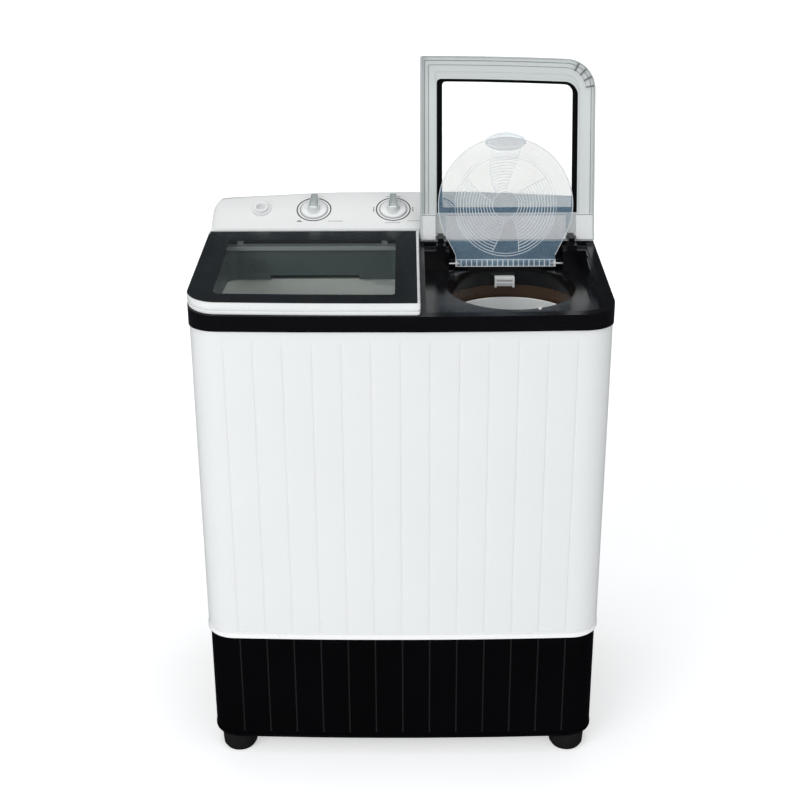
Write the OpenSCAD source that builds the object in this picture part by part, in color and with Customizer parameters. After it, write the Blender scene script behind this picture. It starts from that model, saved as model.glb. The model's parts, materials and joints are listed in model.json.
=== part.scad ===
// Twin tub washing machine: wash tub on the left, spin basket on the right.
// Millimetres. Z up, front faces -Y, origin under the middle of the footprint.
// Shown with the wash lid shut and the spin lid and its safety lid open.

/* [Body] */
// width over the top deck
width = 780; // [720:5:860]
// depth from the bowed front to the back
depth = 474; // [440:2:520]
// bow of the front face over the full width
bow = 10; // [4:1:16]
// radius of the front corners
front_r = 62; // [30:2:90]
// radius of the rear corners
rear_r = 22; // [10:2:40]
// height of the underside of the base moulding
base_z = 40; // [30:1:60]
// height where the cabinet stands on the base
cabinet_z = 271; // [220:1:320]
// height of the bottom edge of the top deck
deck_z = 905; // [860:5:940]
// wall of the moulded shells
wall = 3; // [2:0.5:4]
// distance between the vertical grooves
groove_pitch = 53.4; // [40:0.2:80]

/* [Lids] */
// height of the lid surface at the front
lid_front_z = 957; // [940:1:980]
// height of the lid surface at its rear end
lid_rear_z = 1007; // [960:1:1020]
// depth covered by the lids, from the front
lid_depth = 371.5; // [340:0.5:400]
// x of the gap between the two lids
split_x = 36.5; // [0:0.5:80]
// depth of the lid skirts
skirt = 22; // [16:1:30]
// how far the open spin lid leans back from upright
lean = 14; // [5:1:20]
// how far the open safety lid leans back from upright
inner_lean = 14.8; // [5:0.2:20]

/* [Panel] */
// height of the top edge of the control panel
panel_z = 1063; // [1030:1:1090]
// x of the water inlet, wash timer, selector and spin timer
controls_x = [-290, -181, -17, 76];
// radius of the dial rings
dial_r = 36.3; // [30:0.1:42]

/* [Wash side] */
// middle of the wash tub
wash_x = -175; // [-190:1:-160]
wash_y = -56; // [-70:1:-40]
// width and depth of the wash tub
tub_w = 374; // [340:1:400]
tub_d = 314; // [290:1:330]
// height of the tub floor
floor_z = 430; // [400:5:480]
// radius of the pulsator
pulsator_r = 150; // [120:5:152]
// wash motor position
motor_x = -300;
motor_y = 48;

/* [Spin side] */
// middle of the spin basket
spin_x = 213; // [200:1:220]
spin_y = -22; // [-30:1:-10]
// radius of the opening in the deck
mouth_r = 124; // [115:1:126]
// radius of the round recess the safety lid closes into
recess_r = 143; // [138:1:146]
// outside radius of the spin basket
basket_r = 117; // [105:1:120]
// centre and radius of the safety lid disc, from its pivot
disc_r = 136; // [130:1:138]
disc_reach = 117.5; // [110:0.5:124]

/* [Hidden] */
$fn = 96;
eps = 0.01;
gap = 0.3;
y0 = -depth / 2;
y1 = depth / 2;
slope = atan((lid_rear_z - lid_front_z) / lid_depth);
lid_y = y0 + lid_depth;
lid_len = lid_depth / cos(slope);
axis_y = -17;
axis_z = -10;
hinge_y = lid_y + axis_y * cos(slope) - axis_z * sin(slope);
hinge_z = lid_rear_z + axis_y * sin(slope) + axis_z * cos(slope);
pin_r = 2.2;
pin_fit = 0.05;
opening_angle = 90 + slope + lean;
safety_x = 210;
safety_y = 92;
safety_z = 943;
panel_y = lid_y + 0.5;
panel_a = atan((panel_z - lid_rear_z) / (y1 - panel_y));
panel_mid_y = (panel_y + y1) / 2;
panel_mid_z = (panel_z + lid_rear_z) / 2;
knobs_x = [controls_x[1], controls_x[2], controls_x[3]];
tub_top = 911;
wash_arms = [-330, -40];
spin_arms = [73, 336];
belt_z = 309;
big_pulley_r = 90;
small_pulley_r = 20;
valve_x = 44;
valve_y = 60;
outlet_z = 110;

// ---------- shared shapes ----------

// footprint of the body, moved in by the given amounts; bowed front, round corners
module plan(inset = 0, back = -1) {
    hw = width / 2 - inset;
    yf = y0 + inset;
    yb = y1 - (back < 0 ? inset : back);
    rb = (pow(width / 2, 2) + bow * bow) / (2 * bow) - inset;
    rf = front_r - inset;
    rr = max(rear_r - inset, 2);
    cx = hw - rf;
    cy = yf + rb - sqrt(pow(rb - rf, 2) - cx * cx);
    n = [cx, cy - yf - rb] / (rb - rf);
    difference() {
        intersection() {
            translate([-hw, yf]) square([2 * hw, yb - yf]);
            translate([0, yf + rb]) circle(r = rb, $fn = 2880);
        }
        for (s = [-1, 1]) {
            difference() {
                polygon([[s * cx, cy], [s * (hw + 1), cy], [s * (hw + 1), yf - 1],
                    [s * (cx + n[0] * rf), yf - 1], [s * (cx + n[0] * rf), cy + n[1] * rf]]);
                translate([s * cx, cy]) circle(r = rf);
            }
            difference() {
                translate([s > 0 ? hw - rr : -hw - 1, yb - rr]) square(rr + 1);
                translate([s * (hw - rr), yb - rr]) circle(r = rr);
            }
        }
    }
}

module prism(z, h, inset = 0, back = -1) {
    translate([0, 0, z]) linear_extrude(h) plan(inset, back);
}

// everything up to the sloping lid plane moved by off
module below(off) {
    translate([0, lid_y, lid_rear_z]) rotate([slope, 0, 0])
        translate([-width, -width, off - 400]) cube([2 * width, 2 * width, 400]);
}

// everything on the spin side up to its basin floor moved by off
module basin(off) translate([split_x, -165, 921]) rotate([3.3, 0, 0])
    translate([0, -width, off - 400]) cube([width, 2 * width, 400]);

// hollow of the basin above its floor moved by off, in from the outline
module basin_space(off, inset) difference() {
    intersection() {
        prism(deck_z, 150, inset);
        translate([split_x + inset - 8, y0, deck_z]) cube([width, 95 - inset - y0, 150]);
    }
    basin(off);
    translate([17 - inset, y1, off]) rotate([90, 0, 0]) linear_extrude(depth)
        polygon([[346, 895], [374, 990], [width, 990], [width, 895]]);
}

module rounded(w, d, r) {
    square([w - 2 * r, d], center = true);
    square([w, d - 2 * r], center = true);
    for (x = [-1, 1], y = [-1, 1]) translate([x * (w / 2 - r), y * (d / 2 - r)]) circle(r = r);
}

module box_at(x, y, z, w, d, h, r) {
    translate([x, y, z]) linear_extrude(h) rounded(w, d, r);
}

module rod(x, y, z, r, h) {
    translate([x, y, z]) cylinder(r = r, h = h);
}

module tube(x, y, z, ro, ri, h) {
    translate([x, y, z]) difference() {
        cylinder(r = ro, h = h);
        translate([0, 0, -1]) cylinder(r = ri, h = h + 2);
    }
}

module rod_x(x, y, z, r, len) {
    translate([x, y, z]) rotate([0, 90, 0]) cylinder(r = r, h = len);
}

module rod_y(x, y, z, r, len) {
    translate([x, y, z]) rotate([-90, 0, 0]) cylinder(r = r, h = len);
}

// vertical V grooves along the bowed front
module grooves(z, h, inset, size) {
    rb = (pow(width / 2, 2) + bow * bow) / (2 * bow) - inset;
    for (i = [-6:6]) {
        x = i * groove_pitch;
        translate([x, y0 + inset + rb - sqrt(rb * rb - x * x), z]) rotate([0, 0, 45])
            translate([-size / 2, -size / 2, 0]) cube([size, size, h]);
    }
}

// lid frame of reference: y = 0 at the rear end, z = 0 the top surface when shut
module shut() {
    translate([0, lid_y, lid_rear_z]) rotate([slope, 0, 0]) children();
}

module opened() {
    translate([0, hinge_y, hinge_z]) rotate([slope - opening_angle, 0, 0])
        translate([0, -axis_y, -axis_z]) children();
}

// frame of reference of the safety lid: y along the lid from its pivot, z out of its top
module safety() {
    translate([safety_x, safety_y, safety_z]) rotate([90 - inner_lean, 0, 0]) children();
}

// centre of each control on the sloping panel, z out of the panel
module on_panel(x) {
    translate([x, panel_mid_y, panel_mid_z]) rotate([panel_a, 0, 0]) children();
}

// ---------- cabinet ----------

module base() color("#141418") difference() {
    union() {
        difference() {
            prism(base_z, cabinet_z - base_z, 6);
            prism(base_z + wall, cabinet_z, 6 + wall);
        }
        prism(base_z, 6, 4.5);
        difference() {
            prism(cabinet_z - 6, 12, 6 + wall - eps);
            prism(cabinet_z - 7, 14, 6 + 2 * wall);
        }
        translate([valve_x - 36, y1 - 50, outlet_z - 36]) cube([72, 44, 72]);
        for (a = [90, 210, 330])
            rod(spin_x + 66 * cos(a), spin_y + 66 * sin(a), base_z, 18, 72);
    }
    translate([valve_x - 32, y1 - 46, outlet_z - 32]) cube([64, 60, 64]);
    rod_y(valve_x, y1 - 60, outlet_z, 16 + eps, 30);
    grooves(base_z + 14, cabinet_z, 6, 2);
    for (i = [-5:5]) translate([wash_x + i * 24 - 4, -120, base_z - 1]) cube([8, 130, 8]);
    foot_places() cylinder(r = 8.1, h = 30, center = true);
}

module foot_places() {
    for (x = [-335, 335], y = [-188, 195]) translate([x, y, base_z]) children();
}

module feet() color("#101012") foot_places() {
    translate([0, 0, 8 - base_z]) cylinder(r1 = 34, r2 = 36, h = base_z - 8 - eps);
    translate([0, 0, -base_z]) cylinder(r1 = 29, r2 = 34, h = 8);
    translate([0, 0, -1]) cylinder(r = 8, h = 6);
}

module cabinet() color("#eceeed") difference() {
    union() {
        prism(cabinet_z + gap, deck_z - cabinet_z - 2 * gap, 2, 4);
        prism(cabinet_z + gap, 12, 0.5, 3);
    }
    prism(cabinet_z, deck_z - cabinet_z, 2 + wall, 4 + wall);
    grooves(cabinet_z + 13, deck_z - cabinet_z - 30, 2, 1.8);
    translate([-330, y1 - 20, 330]) cube([660, 40, 530]);
    cover_points() rotate([-90, 0, 0]) cylinder(r = 2, h = 30, center = true);
}

module cover_points() {
    for (x = [-342, 342], z = [340, 508, 676, 850]) translate([x, y1 - 4, z]) children();
    for (x = [-120, 120], z = [322, 868]) translate([x, y1 - 4, z]) children();
}

module back_cover() color("#c9cccb") difference() {
    translate([-352, y1 - 4 + eps, 312]) cube([704, 1.8, 566]);
    cover_points() rotate([-90, 0, 0]) cylinder(r = 2, h = 30, center = true);
    for (x = [-200:40:200], z = [380, 460]) translate([x - 12, y1 - 10, z]) cube([24, 12, 5]);
    rod_y(300, y1 - 20, 380, 8 + eps, 40);
}

module cover_screws() color("#b8bbbd") cover_points() rotate([-90, 0, 0]) {
    translate([0, 0, -10]) cylinder(r = 2 - eps, h = 12);
    difference() {
        translate([0, 0, 1.8 + 2 * eps]) cylinder(r = 4.2, h = 1.9);
        translate([0, 0, 3.2]) cube([6, 0.9, 1.2], center = true);
    }
}

module cord_gland() color("#1a1a1c") difference() {
    union() {
        rod_y(300, y1 - 16, 380, 8, 15.6);
        rod_y(300, y1 - 16, 380, 12, 11.8);
    }
    rod_y(300, y1 - 30, 380, 3.6, 60);
}

// ---------- top deck ----------

module top_deck() color("#0d0d12") difference() {
    union() {
        difference() {
            intersection() {
                prism(deck_z, 100);
                union() {
                    below(-22.8);
                    intersection() {
                        prism(deck_z, 100, 6.6);
                        below(-14);
                        translate([-width, y0, deck_z]) cube([width + split_x, depth - 160, 100]);
                    }
                }
                translate([-width, y0, deck_z]) cube([2 * width, depth, 84]);
            }
            intersection() {
                prism(deck_z, 150, 17);
                translate([-width, y0, deck_z]) cube([2 * width, lid_depth - 15, 150]);
                difference() {
                    translate([-width, y0, deck_z]) cube([2 * width, depth, 300]);
                    below(-26);
                    intersection() {
                        translate([split_x - 9, y0, deck_z]) cube([18, depth, 300]);
                        below(-22.8);
                    }
                }
            }
            difference() {
                translate([split_x - 8, y0 - 1, deck_z]) cube([16, depth, 300]);
                below(-22.8);
            }
            basin_space(0, 17);
            difference() {
                intersection() {
                    prism(deck_z - 1, 100, wall + 0.5);
                    below(-30);
                    translate([-width, y0, deck_z - 1]) cube([2 * width, depth, 81]);
                }
                basin_space(-4, 13);
            }
        }
        difference() {
            union() {
                prism(deck_z - 8, 14, 5 + gap, 7 + gap);
                prism(deck_z, 6, wall, wall);
            }
            prism(deck_z - 9, 16, 8, 10);
        }
        intersection() {
            difference() {
                box_at(wash_x, -57.5, tub_top + 1, 358, 299, 80, 27);
                translate([wash_x - 90, 40, tub_top - 1]) cube([180, 80, 11]);
            }
            below(-26);
        }
        intersection() {
            rod(spin_x, spin_y, tub_top, recess_r + wall, 100);
            below(-27);
            union() {
                basin(-1);
                translate([0, 79, tub_top]) cube([width, 60, 100]);
            }
        }
        tube(spin_x, spin_y, 898, mouth_r + 3, mouth_r, 18);
        intersection() {
            translate([safety_x - 118, 74, 916]) cube([236, 34, 80]);
            below(-27);
        }
        well_posts() cylinder(r = 7, h = 17);
        intersection() {
            tub_posts() cylinder(r = 6, h = 90);
            below(-28);
        }
    }
    box_at(wash_x, -57.5, deck_z - 10, 352, 293, 200, 24);
    difference() {
        rod(spin_x, spin_y, 905, recess_r, 130);
        basin(-3);
    }
    rod(spin_x, spin_y, 860, mouth_r, 120);
    translate([safety_x - 114, 77, 925]) cube([228, 27, 90]);
    translate([safety_x - 114, 73, 934]) cube([228, 5, 90]);
    rod_x(safety_x - 120, safety_y, safety_z, pin_r + pin_fit, 240);
    spin_slots();
    rod(controls_x[0], 200, deck_z + 60, 19, 60);
    rod(150, 186, deck_z + 60, 30, 60);
    translate([controls_x[0] - 18.3, 80, 925.7]) cube([36.6, 20, 26.6]);
    well_posts() translate([0, 0, -1]) cylinder(r = 2, h = 14);
    tub_posts() translate([0, 0, -1]) cylinder(r = 2, h = 14);
}

module spin_slots() {
    translate([365, -160, 0]) intersection() {
        translate([0, 0, deck_z]) cube([5, 210, 200]);
        translate([-365, 160, 0]) difference() {
            translate([-width, y0, deck_z]) cube([2 * width, depth, 200]);
            below(-28.5);
        }
    }
}

module well_posts() {
    for (a = [45:90:315])
        translate([spin_x + 139 * cos(a), spin_y + 139 * sin(a), 896]) children();
}

module tub_posts() {
    for (x = [-1, 1], y = [-120, 0, 120])
        translate([wash_x + x * 193, wash_y + y, tub_top + eps]) children();
}

module tub_screws() color("#b8bbbd") {
    well_posts() translate([0, 0, -3.2 - 2]) {
        cylinder(r = 4.4, h = 2 - eps);
        cylinder(r = 2 - eps, h = 14);
    }
    tub_posts() translate([0, 0, -3.2 - 2]) {
        cylinder(r = 4.4, h = 2 - eps);
        cylinder(r = 2 - eps, h = 14);
    }
}

// bar along the hinge side of a lid with arms that carry the lid pins
module hinge_bar(x, w, arms) difference() {
    union() {
        shut() translate([x, -56, eps - 26]) cube([w, 18, 9]);
        for (a = arms) shut() translate([a, 0, 0]) {
            translate([0, axis_y, axis_z]) rotate([0, 90, 0]) cylinder(r = 4.4, h = 12);
            translate([0, -45, axis_z - 4.4]) cube([12, 45 + axis_y, 8.8]);
            translate([0, -45, -17.5]) cube([12, 7, 8]);
        }
    }
    for (a = arms) shut() rod_x(a - 1, axis_y, axis_z, pin_r + pin_fit, 14);
}

module wash_hinge_bar() color("#c4c8c8") hinge_bar(-372.7, 396.7, wash_arms);
module spin_hinge_bar() color("#16161a") {
    for (a = spin_arms) hinge_bar(a - 3, 19, [a]);
}

module lid_buffers() color("#e6e6e4")
    for (x = [wash_x, 248]) intersection() {
        shut() translate([x, -lid_len + 11, -15]) cylinder(r = 3, h = 3);
        translate([-width, y0, 0]) cube([2 * width, depth, 2000]);
        difference() {
            prism(deck_z, 100);
            below(-14 + eps);
        }
    }

// ---------- wash side, fixed ----------

module wash_tub() color("#cfd3d4") difference() {
    union() {
        box_at(wash_x, wash_y, floor_z, tub_w, tub_d, tub_top - floor_z, 45);
        box_at(wash_x, wash_y, tub_top - 3, tub_w + 12, tub_d + 12, 3 - eps, 50);
        tub_posts() translate([0, 0, -3]) cylinder(r = 7, h = 3 - eps);
        rod(-30, valve_y + 10, floor_z - 14, 15, 15);
        rod(wash_x, wash_y, floor_z, 30, 8);
    }
    box_at(wash_x, wash_y, floor_z + 3.5, tub_w - 5, tub_d - 5, 600, 42.5);
    tub_posts() cylinder(r = 2, h = 20, center = true);
    rod(-30, valve_y + 10, floor_z - 20, 12, 40);
    rod(wash_x, wash_y, floor_z - 5, 14 + eps, 30);
    bolt_places() cylinder(r = 2.5, h = 14, center = true);
}

module lint_filter() color("#f2f3f2") difference() {
    translate([-56, 60.5, 480]) cube([44, 32, 425]);
    translate([-53.5, 63, 470]) cube([39, 40, 432]);
    for (z = [500:22:880]) translate([-50, 55, z]) cube([32, 20, 8]);
}

module gearcase() color("#8d9194") difference() {
    union() {
        rod(wash_x, wash_y, floor_z - 8, 62, 8 - gap);
        rod(wash_x, wash_y, 350, 46, floor_z - 358 + eps);
        rod(wash_x, wash_y, 330, 22, 20 + eps);
        rod(wash_x, wash_y, floor_z - 8, 14, 16);
        for (a = [0:60:300]) rotate_about(wash_x, wash_y, a)
            translate([30, -2, 372]) cube([28, 4, floor_z - 380 + eps]);
    }
    rod(wash_x, wash_y, 320, 8.04, 140);
}

module rotate_about(x, y, a) {
    translate([x, y, 0]) rotate([0, 0, a]) children();
}

module bolt_places() {
    for (x = [-46, 46], y = [-46, 46]) translate([motor_x + x, motor_y + y, floor_z]) children();
}

module motor_mount() color("#a9adb0") difference() {
    box_at(motor_x, motor_y, 418, 112, 112, 3, 8);
    rod(motor_x, motor_y, 400, 22, 30);
    bolt_places() cylinder(r = 2.5, h = 40, center = true);
}

module motor_bolts() color("#4a4c4e") bolt_places() {
    translate([0, 0, -9 + eps]) cylinder(r = 7, h = 9 - 2 * eps);
    translate([0, 0, -15]) cylinder(r = 2.5 - eps, h = 18.4);
    translate([0, 0, -15]) cylinder(r = 5, h = 3 - eps);
}

module wash_motor() color("#6f7478") difference() {
    union() {
        rod(motor_x, motor_y, 332, 40, 85.9);
        rod(motor_x, motor_y, 346, 52, 58);
        rod(motor_x, motor_y, 326, 14, 7);
        for (z = [352:8:396]) rod(motor_x, motor_y, z, 53.5, 3);
    }
    rod(motor_x, motor_y, 320, 6.05, 60);
}

// ---------- spin side, fixed ----------

module spin_well() color("#2a1c12") difference() {
    union() {
        rod(spin_x, spin_y, 440, 131, 455.5);
        rod(spin_x, spin_y, 892.8, 137, 3);
        well_posts() translate([0, 0, -3.2]) cylinder(r = 9, h = 3);
        rod(spin_x - 70, valve_y, 424, 14, 20);
    }
    rod(spin_x, spin_y, 444, 128, 600);
    rod(spin_x, spin_y, 430, 38 + eps, 40);
    rod(spin_x - 70, valve_y, 420, 11, 40);
    well_posts() cylinder(r = 2, h = 20, center = true);
}

module rinse_spout() color("#f2f3f2") difference() {
    intersection() {
        translate([spin_x - 24, 84, 895]) cube([40, 20, 21]);
        rod(spin_x, spin_y, 890, mouth_r - eps, 40);
    }
    translate([spin_x - 20, 80, 907]) cube([32, 14, 3]);
    translate([spin_x - 20, 82, 893]) cube([32, 12, 10]);
}

module shaft_seal() color("#1b1b1d") translate([spin_x, spin_y, 0]) difference() {
    rotate_extrude() polygon([[9.5, 424], [16, 424], [16, 436], [22, 430], [28, 438], [34, 432],
        [38, 434], [38, 439.8], [44, 439.8], [44, 436], [47, 436], [47, 439.9], [38, 439.9],
        [38, 444], [46, 444.1], [46, 447], [34, 447], [34, 438], [28, 444], [22, 436], [18, 441],
        [18, 447], [9.5, 447]]);
    rod(0, 0, 420, 8.04, 40);
}

module spin_motor() color("#6f7478") difference() {
    union() {
        rod(spin_x, spin_y, 222, 48, 126);
        rod(spin_x, spin_y, 238, 62, 92);
        rod(spin_x, spin_y, 211 + eps, 30, 12);
        for (z = [246:9:320]) rod(spin_x, spin_y, z, 63.5, 3);
    }
    rod(spin_x, spin_y, 260, 8.05, 100);
}

module spin_motor_bracket() color("#9ea2a5") difference() {
    union() {
        rod(spin_x, spin_y, 205, 84, 6);
        rod(spin_x + 76, spin_y, 205, 8, 200);
        rod(spin_x + 76, spin_y, 400, 4, 14);
    }
    for (a = [90, 210, 330]) rod(spin_x + 66 * cos(a), spin_y + 66 * sin(a), 200, 4, 20);
}

module damper_springs() color("#7e8386") for (a = [90, 210, 330])
    translate([spin_x + 66 * cos(a), spin_y + 66 * sin(a), 0]) {
        rod(0, 0, base_z + 72 + eps, 8, 205 - base_z - 72 - 2 * eps);
        rod(0, 0, 195, 14, 10 - eps);
        for (z = [122:14:180]) translate([0, 0, z])
            rotate_extrude() translate([11, 0]) circle(r = 3.2, $fn = 24);
    }

module capacitor() color("#dcdcd6") {
    box_at(110, 150, base_z + 6 + eps, 60, 36, 62, 6);
    for (x = [98, 122]) rod(x, 150, base_z + 67, 3, 10);
}

// ---------- drain ----------

module drain_valve() color("#d4d6d4") difference() {
    union() {
        rod(valve_x, valve_y, 300, 24, 70);
        rod(valve_x, valve_y, 370 - eps, 12, 30);
        rod_x(valve_x - 38, valve_y, 342, 13, 20);
        rod_x(valve_x + 18, valve_y, 342, 13, 20);
        rod(valve_x, valve_y, 282, 13, 20);
    }
    rod(valve_x, valve_y, 304, 20, 62);
    rod(valve_x, valve_y, 270, 10, 50);
    rod_x(valve_x - 50, valve_y, 342, 10, 100);
    rod(valve_x, valve_y, 360, 3.05, 60);
}

// run of hose with ball corners: down from z1 at (x, y), then level towards the valve
module hose_path(x, y, z1, z2, r) {
    rod(x, y, z2, r, z1 - z2);
    translate([x, y, z2]) sphere(r = r);
}

module drain_hoses() color("#3a3c3e") {
    difference() {
        union() {
            hose_path(-30, valve_y + 10, floor_z - gap, 342, 18);
            rod_x(-30, valve_y + 10, 342, 18, 24);
            translate([-8, valve_y - 8, 328]) cube([14, 30, 28]);
            rod_x(valve_x - 38, valve_y, 342, 15.5, 13.5);
        }
        hose_path(-30, valve_y + 10, floor_z + 10, 342, 15 + eps);
        rod_x(-30, valve_y + 10, 342, 12, 32);
        rod_x(valve_x - 38 - eps, valve_y, 342, 13 + eps, 30);
        rod_x(-4, valve_y, 342, 10, 30);
    }
    difference() {
        union() {
            hose_path(spin_x - 70, valve_y, 440 - gap, 342, 17);
            rod_x(valve_x + 24.3, valve_y, 342, 16, spin_x - 94.3 - valve_x);
        }
        hose_path(spin_x - 70, valve_y, 450, 342, 14 + eps);
        rod_x(valve_x + 10, valve_y, 342, 13 + eps, spin_x - 80 - valve_x);
    }
    difference() {
        union() {
            hose_path(valve_x, valve_y, 299, outlet_z, 16);
            rod_y(valve_x, valve_y, outlet_z, 16, y1 - 62 - valve_y);
        }
        hose_path(valve_x, valve_y, 310, outlet_z, 13 + eps);
        rod_y(valve_x, valve_y, outlet_z, 13 + eps, 200);
    }
}

module drain_outlet() color("#2c2d2f") difference() {
    union() {
        rod_y(valve_x, y1 - 74, outlet_z, 13, 30);
        rod_y(valve_x, y1 - 60, outlet_z, 16, 20);
        rod_y(valve_x, y1 - 46 + eps, outlet_z, 20, 4);
        rod_y(valve_x, y1 - 44, outlet_z, 12.5, 40);
    }
    rod_y(valve_x, y1 - 80, outlet_z, 9.5, 100);
}

// ---------- control panel ----------

module panel_profile(inset, low) rotate([90, 0, 90])
    translate([0, 0, -width]) linear_extrude(2 * width) polygon([
        [panel_y + inset, low - 4.9], [panel_y + inset, lid_rear_z - inset * 0.7],
        [y1 - inset, panel_z - inset * 1.3], [y1 - inset, low], [panel_y + 36.7, low]]);

module panel_crown(h) {
    r = (pow(width / 2, 2) + 144) / 24;
    rod_y(0, 0, h - r, r, depth);
}

module control_panel() color("#eef0ef") difference() {
    intersection() {
        panel_profile(0, deck_z + 84 + gap);
        prism(deck_z, 200, 1);
        panel_crown(panel_z);
    }
    intersection() {
        panel_profile(3, deck_z + 80);
        prism(deck_z, 200, 4);
        panel_crown(panel_z - 3);
    }
    on_panel(controls_x[0]) cylinder(r = 15 + eps, h = 40, center = true);
    for (x = knobs_x) on_panel(x) cylinder(r = 10, h = 40, center = true);
}

module panel_points() {
    for (x = [-340, -110, 110, 340]) translate([x, y1 - 5, deck_z + 98]) children();
}

module panel_screws() color("#b8bbbd") panel_points() rotate([-90, 0, 0]) difference() {
    translate([0, 0, 4]) cylinder(r = 4.2, h = 0.99);
    translate([0, 0, 5]) cube([6, 0.9, 1.2], center = true);
}

module dial_rings() color("#1d1f22") for (x = knobs_x) on_panel(x) difference() {
    cylinder(r = dial_r, h = 1.2 + eps);
    translate([0, 0, -1]) cylinder(r = dial_r - 3.2, h = 4);
}

module water_inlet() color("#f4f5f4") on_panel(controls_x[0]) difference() {
    union() {
        translate([0, 0, -14]) cylinder(r = 15, h = 23.5);
        translate([0, 0, eps]) cylinder(r = 19, h = 3);
    }
    translate([0, 0, 0.5]) cylinder(r = 10, h = 20);
    translate([0, 0, -20]) cylinder(r = 7, h = 40);
}

module inlet_duct() color("#d9dcdb") difference() {
    union() {
        on_panel(controls_x[0]) translate([0, 0, -34]) cylinder(r = 16, h = 19.9);
        rod(controls_x[0], 200, 940, 14, 68);
        translate([controls_x[0] - 18, 89.5, 926]) cube([36, 126, 26]);
    }
    on_panel(controls_x[0]) translate([0, 0, -30]) cylinder(r = 12, h = 40);
    rod(controls_x[0], 200, 942, 11, 64);
    translate([controls_x[0] - 15, 80, 929]) cube([30, 132, 20]);
}

module control_body(x, r, h) {
    on_panel(x) difference() {
        union() {
            translate([0, 0, -3 - h]) cylinder(r = r, h = h - gap);
            translate([0, 0, -6]) cylinder(r = 9, h = 6);
        }
        translate([0, 0, -20]) cylinder(r = 3.05, h = 40);
    }
}

module wash_timer() color("#cfcfc6") control_body(controls_x[1], 24, 26);
module selector_switch() color("#3c4048") control_body(controls_x[2], 16, 22);
module spin_timer() color("#cfcfc6") control_body(controls_x[3], 24, 26);

module knob(x) on_panel(x) {
    translate([0, 0, -12]) cylinder(r = 3, h = 14);
    translate([0, 0, 0.5]) cylinder(r1 = 27.5, r2 = 26, h = 2.5);
    translate([0, 0, 3 - eps]) cylinder(r1 = 15, r2 = 13, h = 12);
    translate([0, 2, 3 - eps]) linear_extrude(13)
        polygon([[-12, -8], [12, -8], [6, 30], [-6, 30]]);
}

module wash_knob() color("#d8dcdd") knob(controls_x[1]);
module selector_knob() color("#d8dcdd") knob(controls_x[2]);
module spin_knob() color("#d8dcdd") knob(controls_x[3]);

// ---------- lids ----------

// outline of a lid between x1 and x2, moved in, ending at y = rear
module lid_plan(x1, x2, inset, rear = axis_y) intersection() {
    translate([0, -lid_len - y0]) plan(inset);
    translate([x1 + inset, -lid_len]) square([x2 - x1 - 2 * inset, lid_len + rear]);
}

// window [x1, x2, front, rear] whose front is bowed and rounded like the lid
module window_plan(win) {
    inset = width / 2 - max(-win[0], win[1]);
    intersection() {
        translate([0, win[2] - y0 - inset]) plan(inset);
        translate([win[0], win[2] - 1]) square([win[1] - win[0], win[3] - win[2] + 1]);
    }
}

module lid_frame(x1, x2, win, arms) difference() {
    union() {
        difference() {
            lid_shell(x1, x2);
            rod_x(x1 + 3, axis_y, axis_z, 6, x2 - x1 - 6);
            translate([x1 + 3, axis_y - 10, axis_z - 3]) cube([x2 - x1 - 6, 10, 9]);
        }
        for (a = arms, x = [a - 14, a + 16]) rod_x(x, axis_y, axis_z, 7, 10);
    }
    translate([0, 0, -3]) linear_extrude(10) lid_plan(x1, x2, 5, axis_y + 5);
    translate([0, 0, -30]) linear_extrude(40) window_plan(win);
    for (a = arms) rod_x(a - 15, axis_y, axis_z, pin_r, 42);
}

module lid_shell(x1, x2) {
    difference() {
        translate([0, 0, -skirt]) linear_extrude(skirt) lid_plan(x1, x2, 0);
        translate([0, 0, -skirt - 1]) linear_extrude(skirt - 3) lid_plan(x1, x2, 3, 0);
    }
    intersection() {
        rod_x(x1, axis_y, axis_z, 11.5, x2 - x1);
        translate([x1, axis_y - eps, axis_z]) cube([x2 - x1, 20, -axis_z]);
    }
    for (x = [x1, x2 - 3]) rod_x(x, axis_y, axis_z, 10 - eps, 3);
}

wash_window = [-350, -4, -335, -53];
spin_window = [72, 355, -331, -63];

module wash_lid_frame() color("#eef0ef") shut()
    lid_frame(-width / 2, split_x - 1.5, wash_window, wash_arms);

module spin_lid_frame() color("#eef0ef") opened() {
    lid_frame(split_x + 1.5, width / 2, spin_window, spin_arms);
    for (b = [[split_x + 4, spin_arms[0] - 4], [spin_arms[0] + 16, spin_arms[1] - 4],
            [spin_arms[1] + 16, 387]])
        translate([b[0], 0, 0]) lid_box(b[1] - b[0]);
}

// hollow box under the rear edge of the spin lid
module lid_box(w) difference() {
    translate([0, -59, -skirt + 3]) cube([w, 51, 15.01]);
    translate([2, -57, -skirt + 6]) cube([w - 4, 49, 13]);
    rod_x(-1, axis_y, axis_z, 7 - eps, w + 2);
    translate([-1, axis_y, axis_z]) cube([w + 2, 20, 20]);
}

module pane(x1, x2, inset) translate([0, 0, -1.5]) linear_extrude(1.5) lid_plan(x1, x2, inset, axis_y + 4.9);

module wash_lid_glass() color("#4a5256", 0.4) shut() pane(-width / 2, split_x - 1.5, 5 + eps);
module spin_lid_glass() color("#c8d2d6", 0.3) opened() pane(split_x + 1.5, width / 2, 5 + eps);

module border(x1, x2, hole) translate([0, 0, -3 + eps]) difference() {
    linear_extrude(1.5 - 2 * eps) lid_plan(x1, x2, 5 + 2 * eps, axis_y + 4.9);
    translate([0, 0, -1]) linear_extrude(4) window_plan(hole);
}

module wash_lid_border() color("#0e1014") shut()
    border(-width / 2, split_x - 1.5, [-343, -11, -328, -60]);
module spin_lid_border() color("#0e1014") opened()
    border(split_x + 1.5, width / 2, [83, 343, -325, -74]);

module lid_pins(arms) for (a = arms) rod_x(a - 13.5, axis_y, axis_z, pin_r, 39);

module wash_lid_pins() color("#c8cacc") shut() lid_pins(wash_arms);
module spin_lid_pins() color("#c8cacc") opened() lid_pins(spin_arms);

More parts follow.
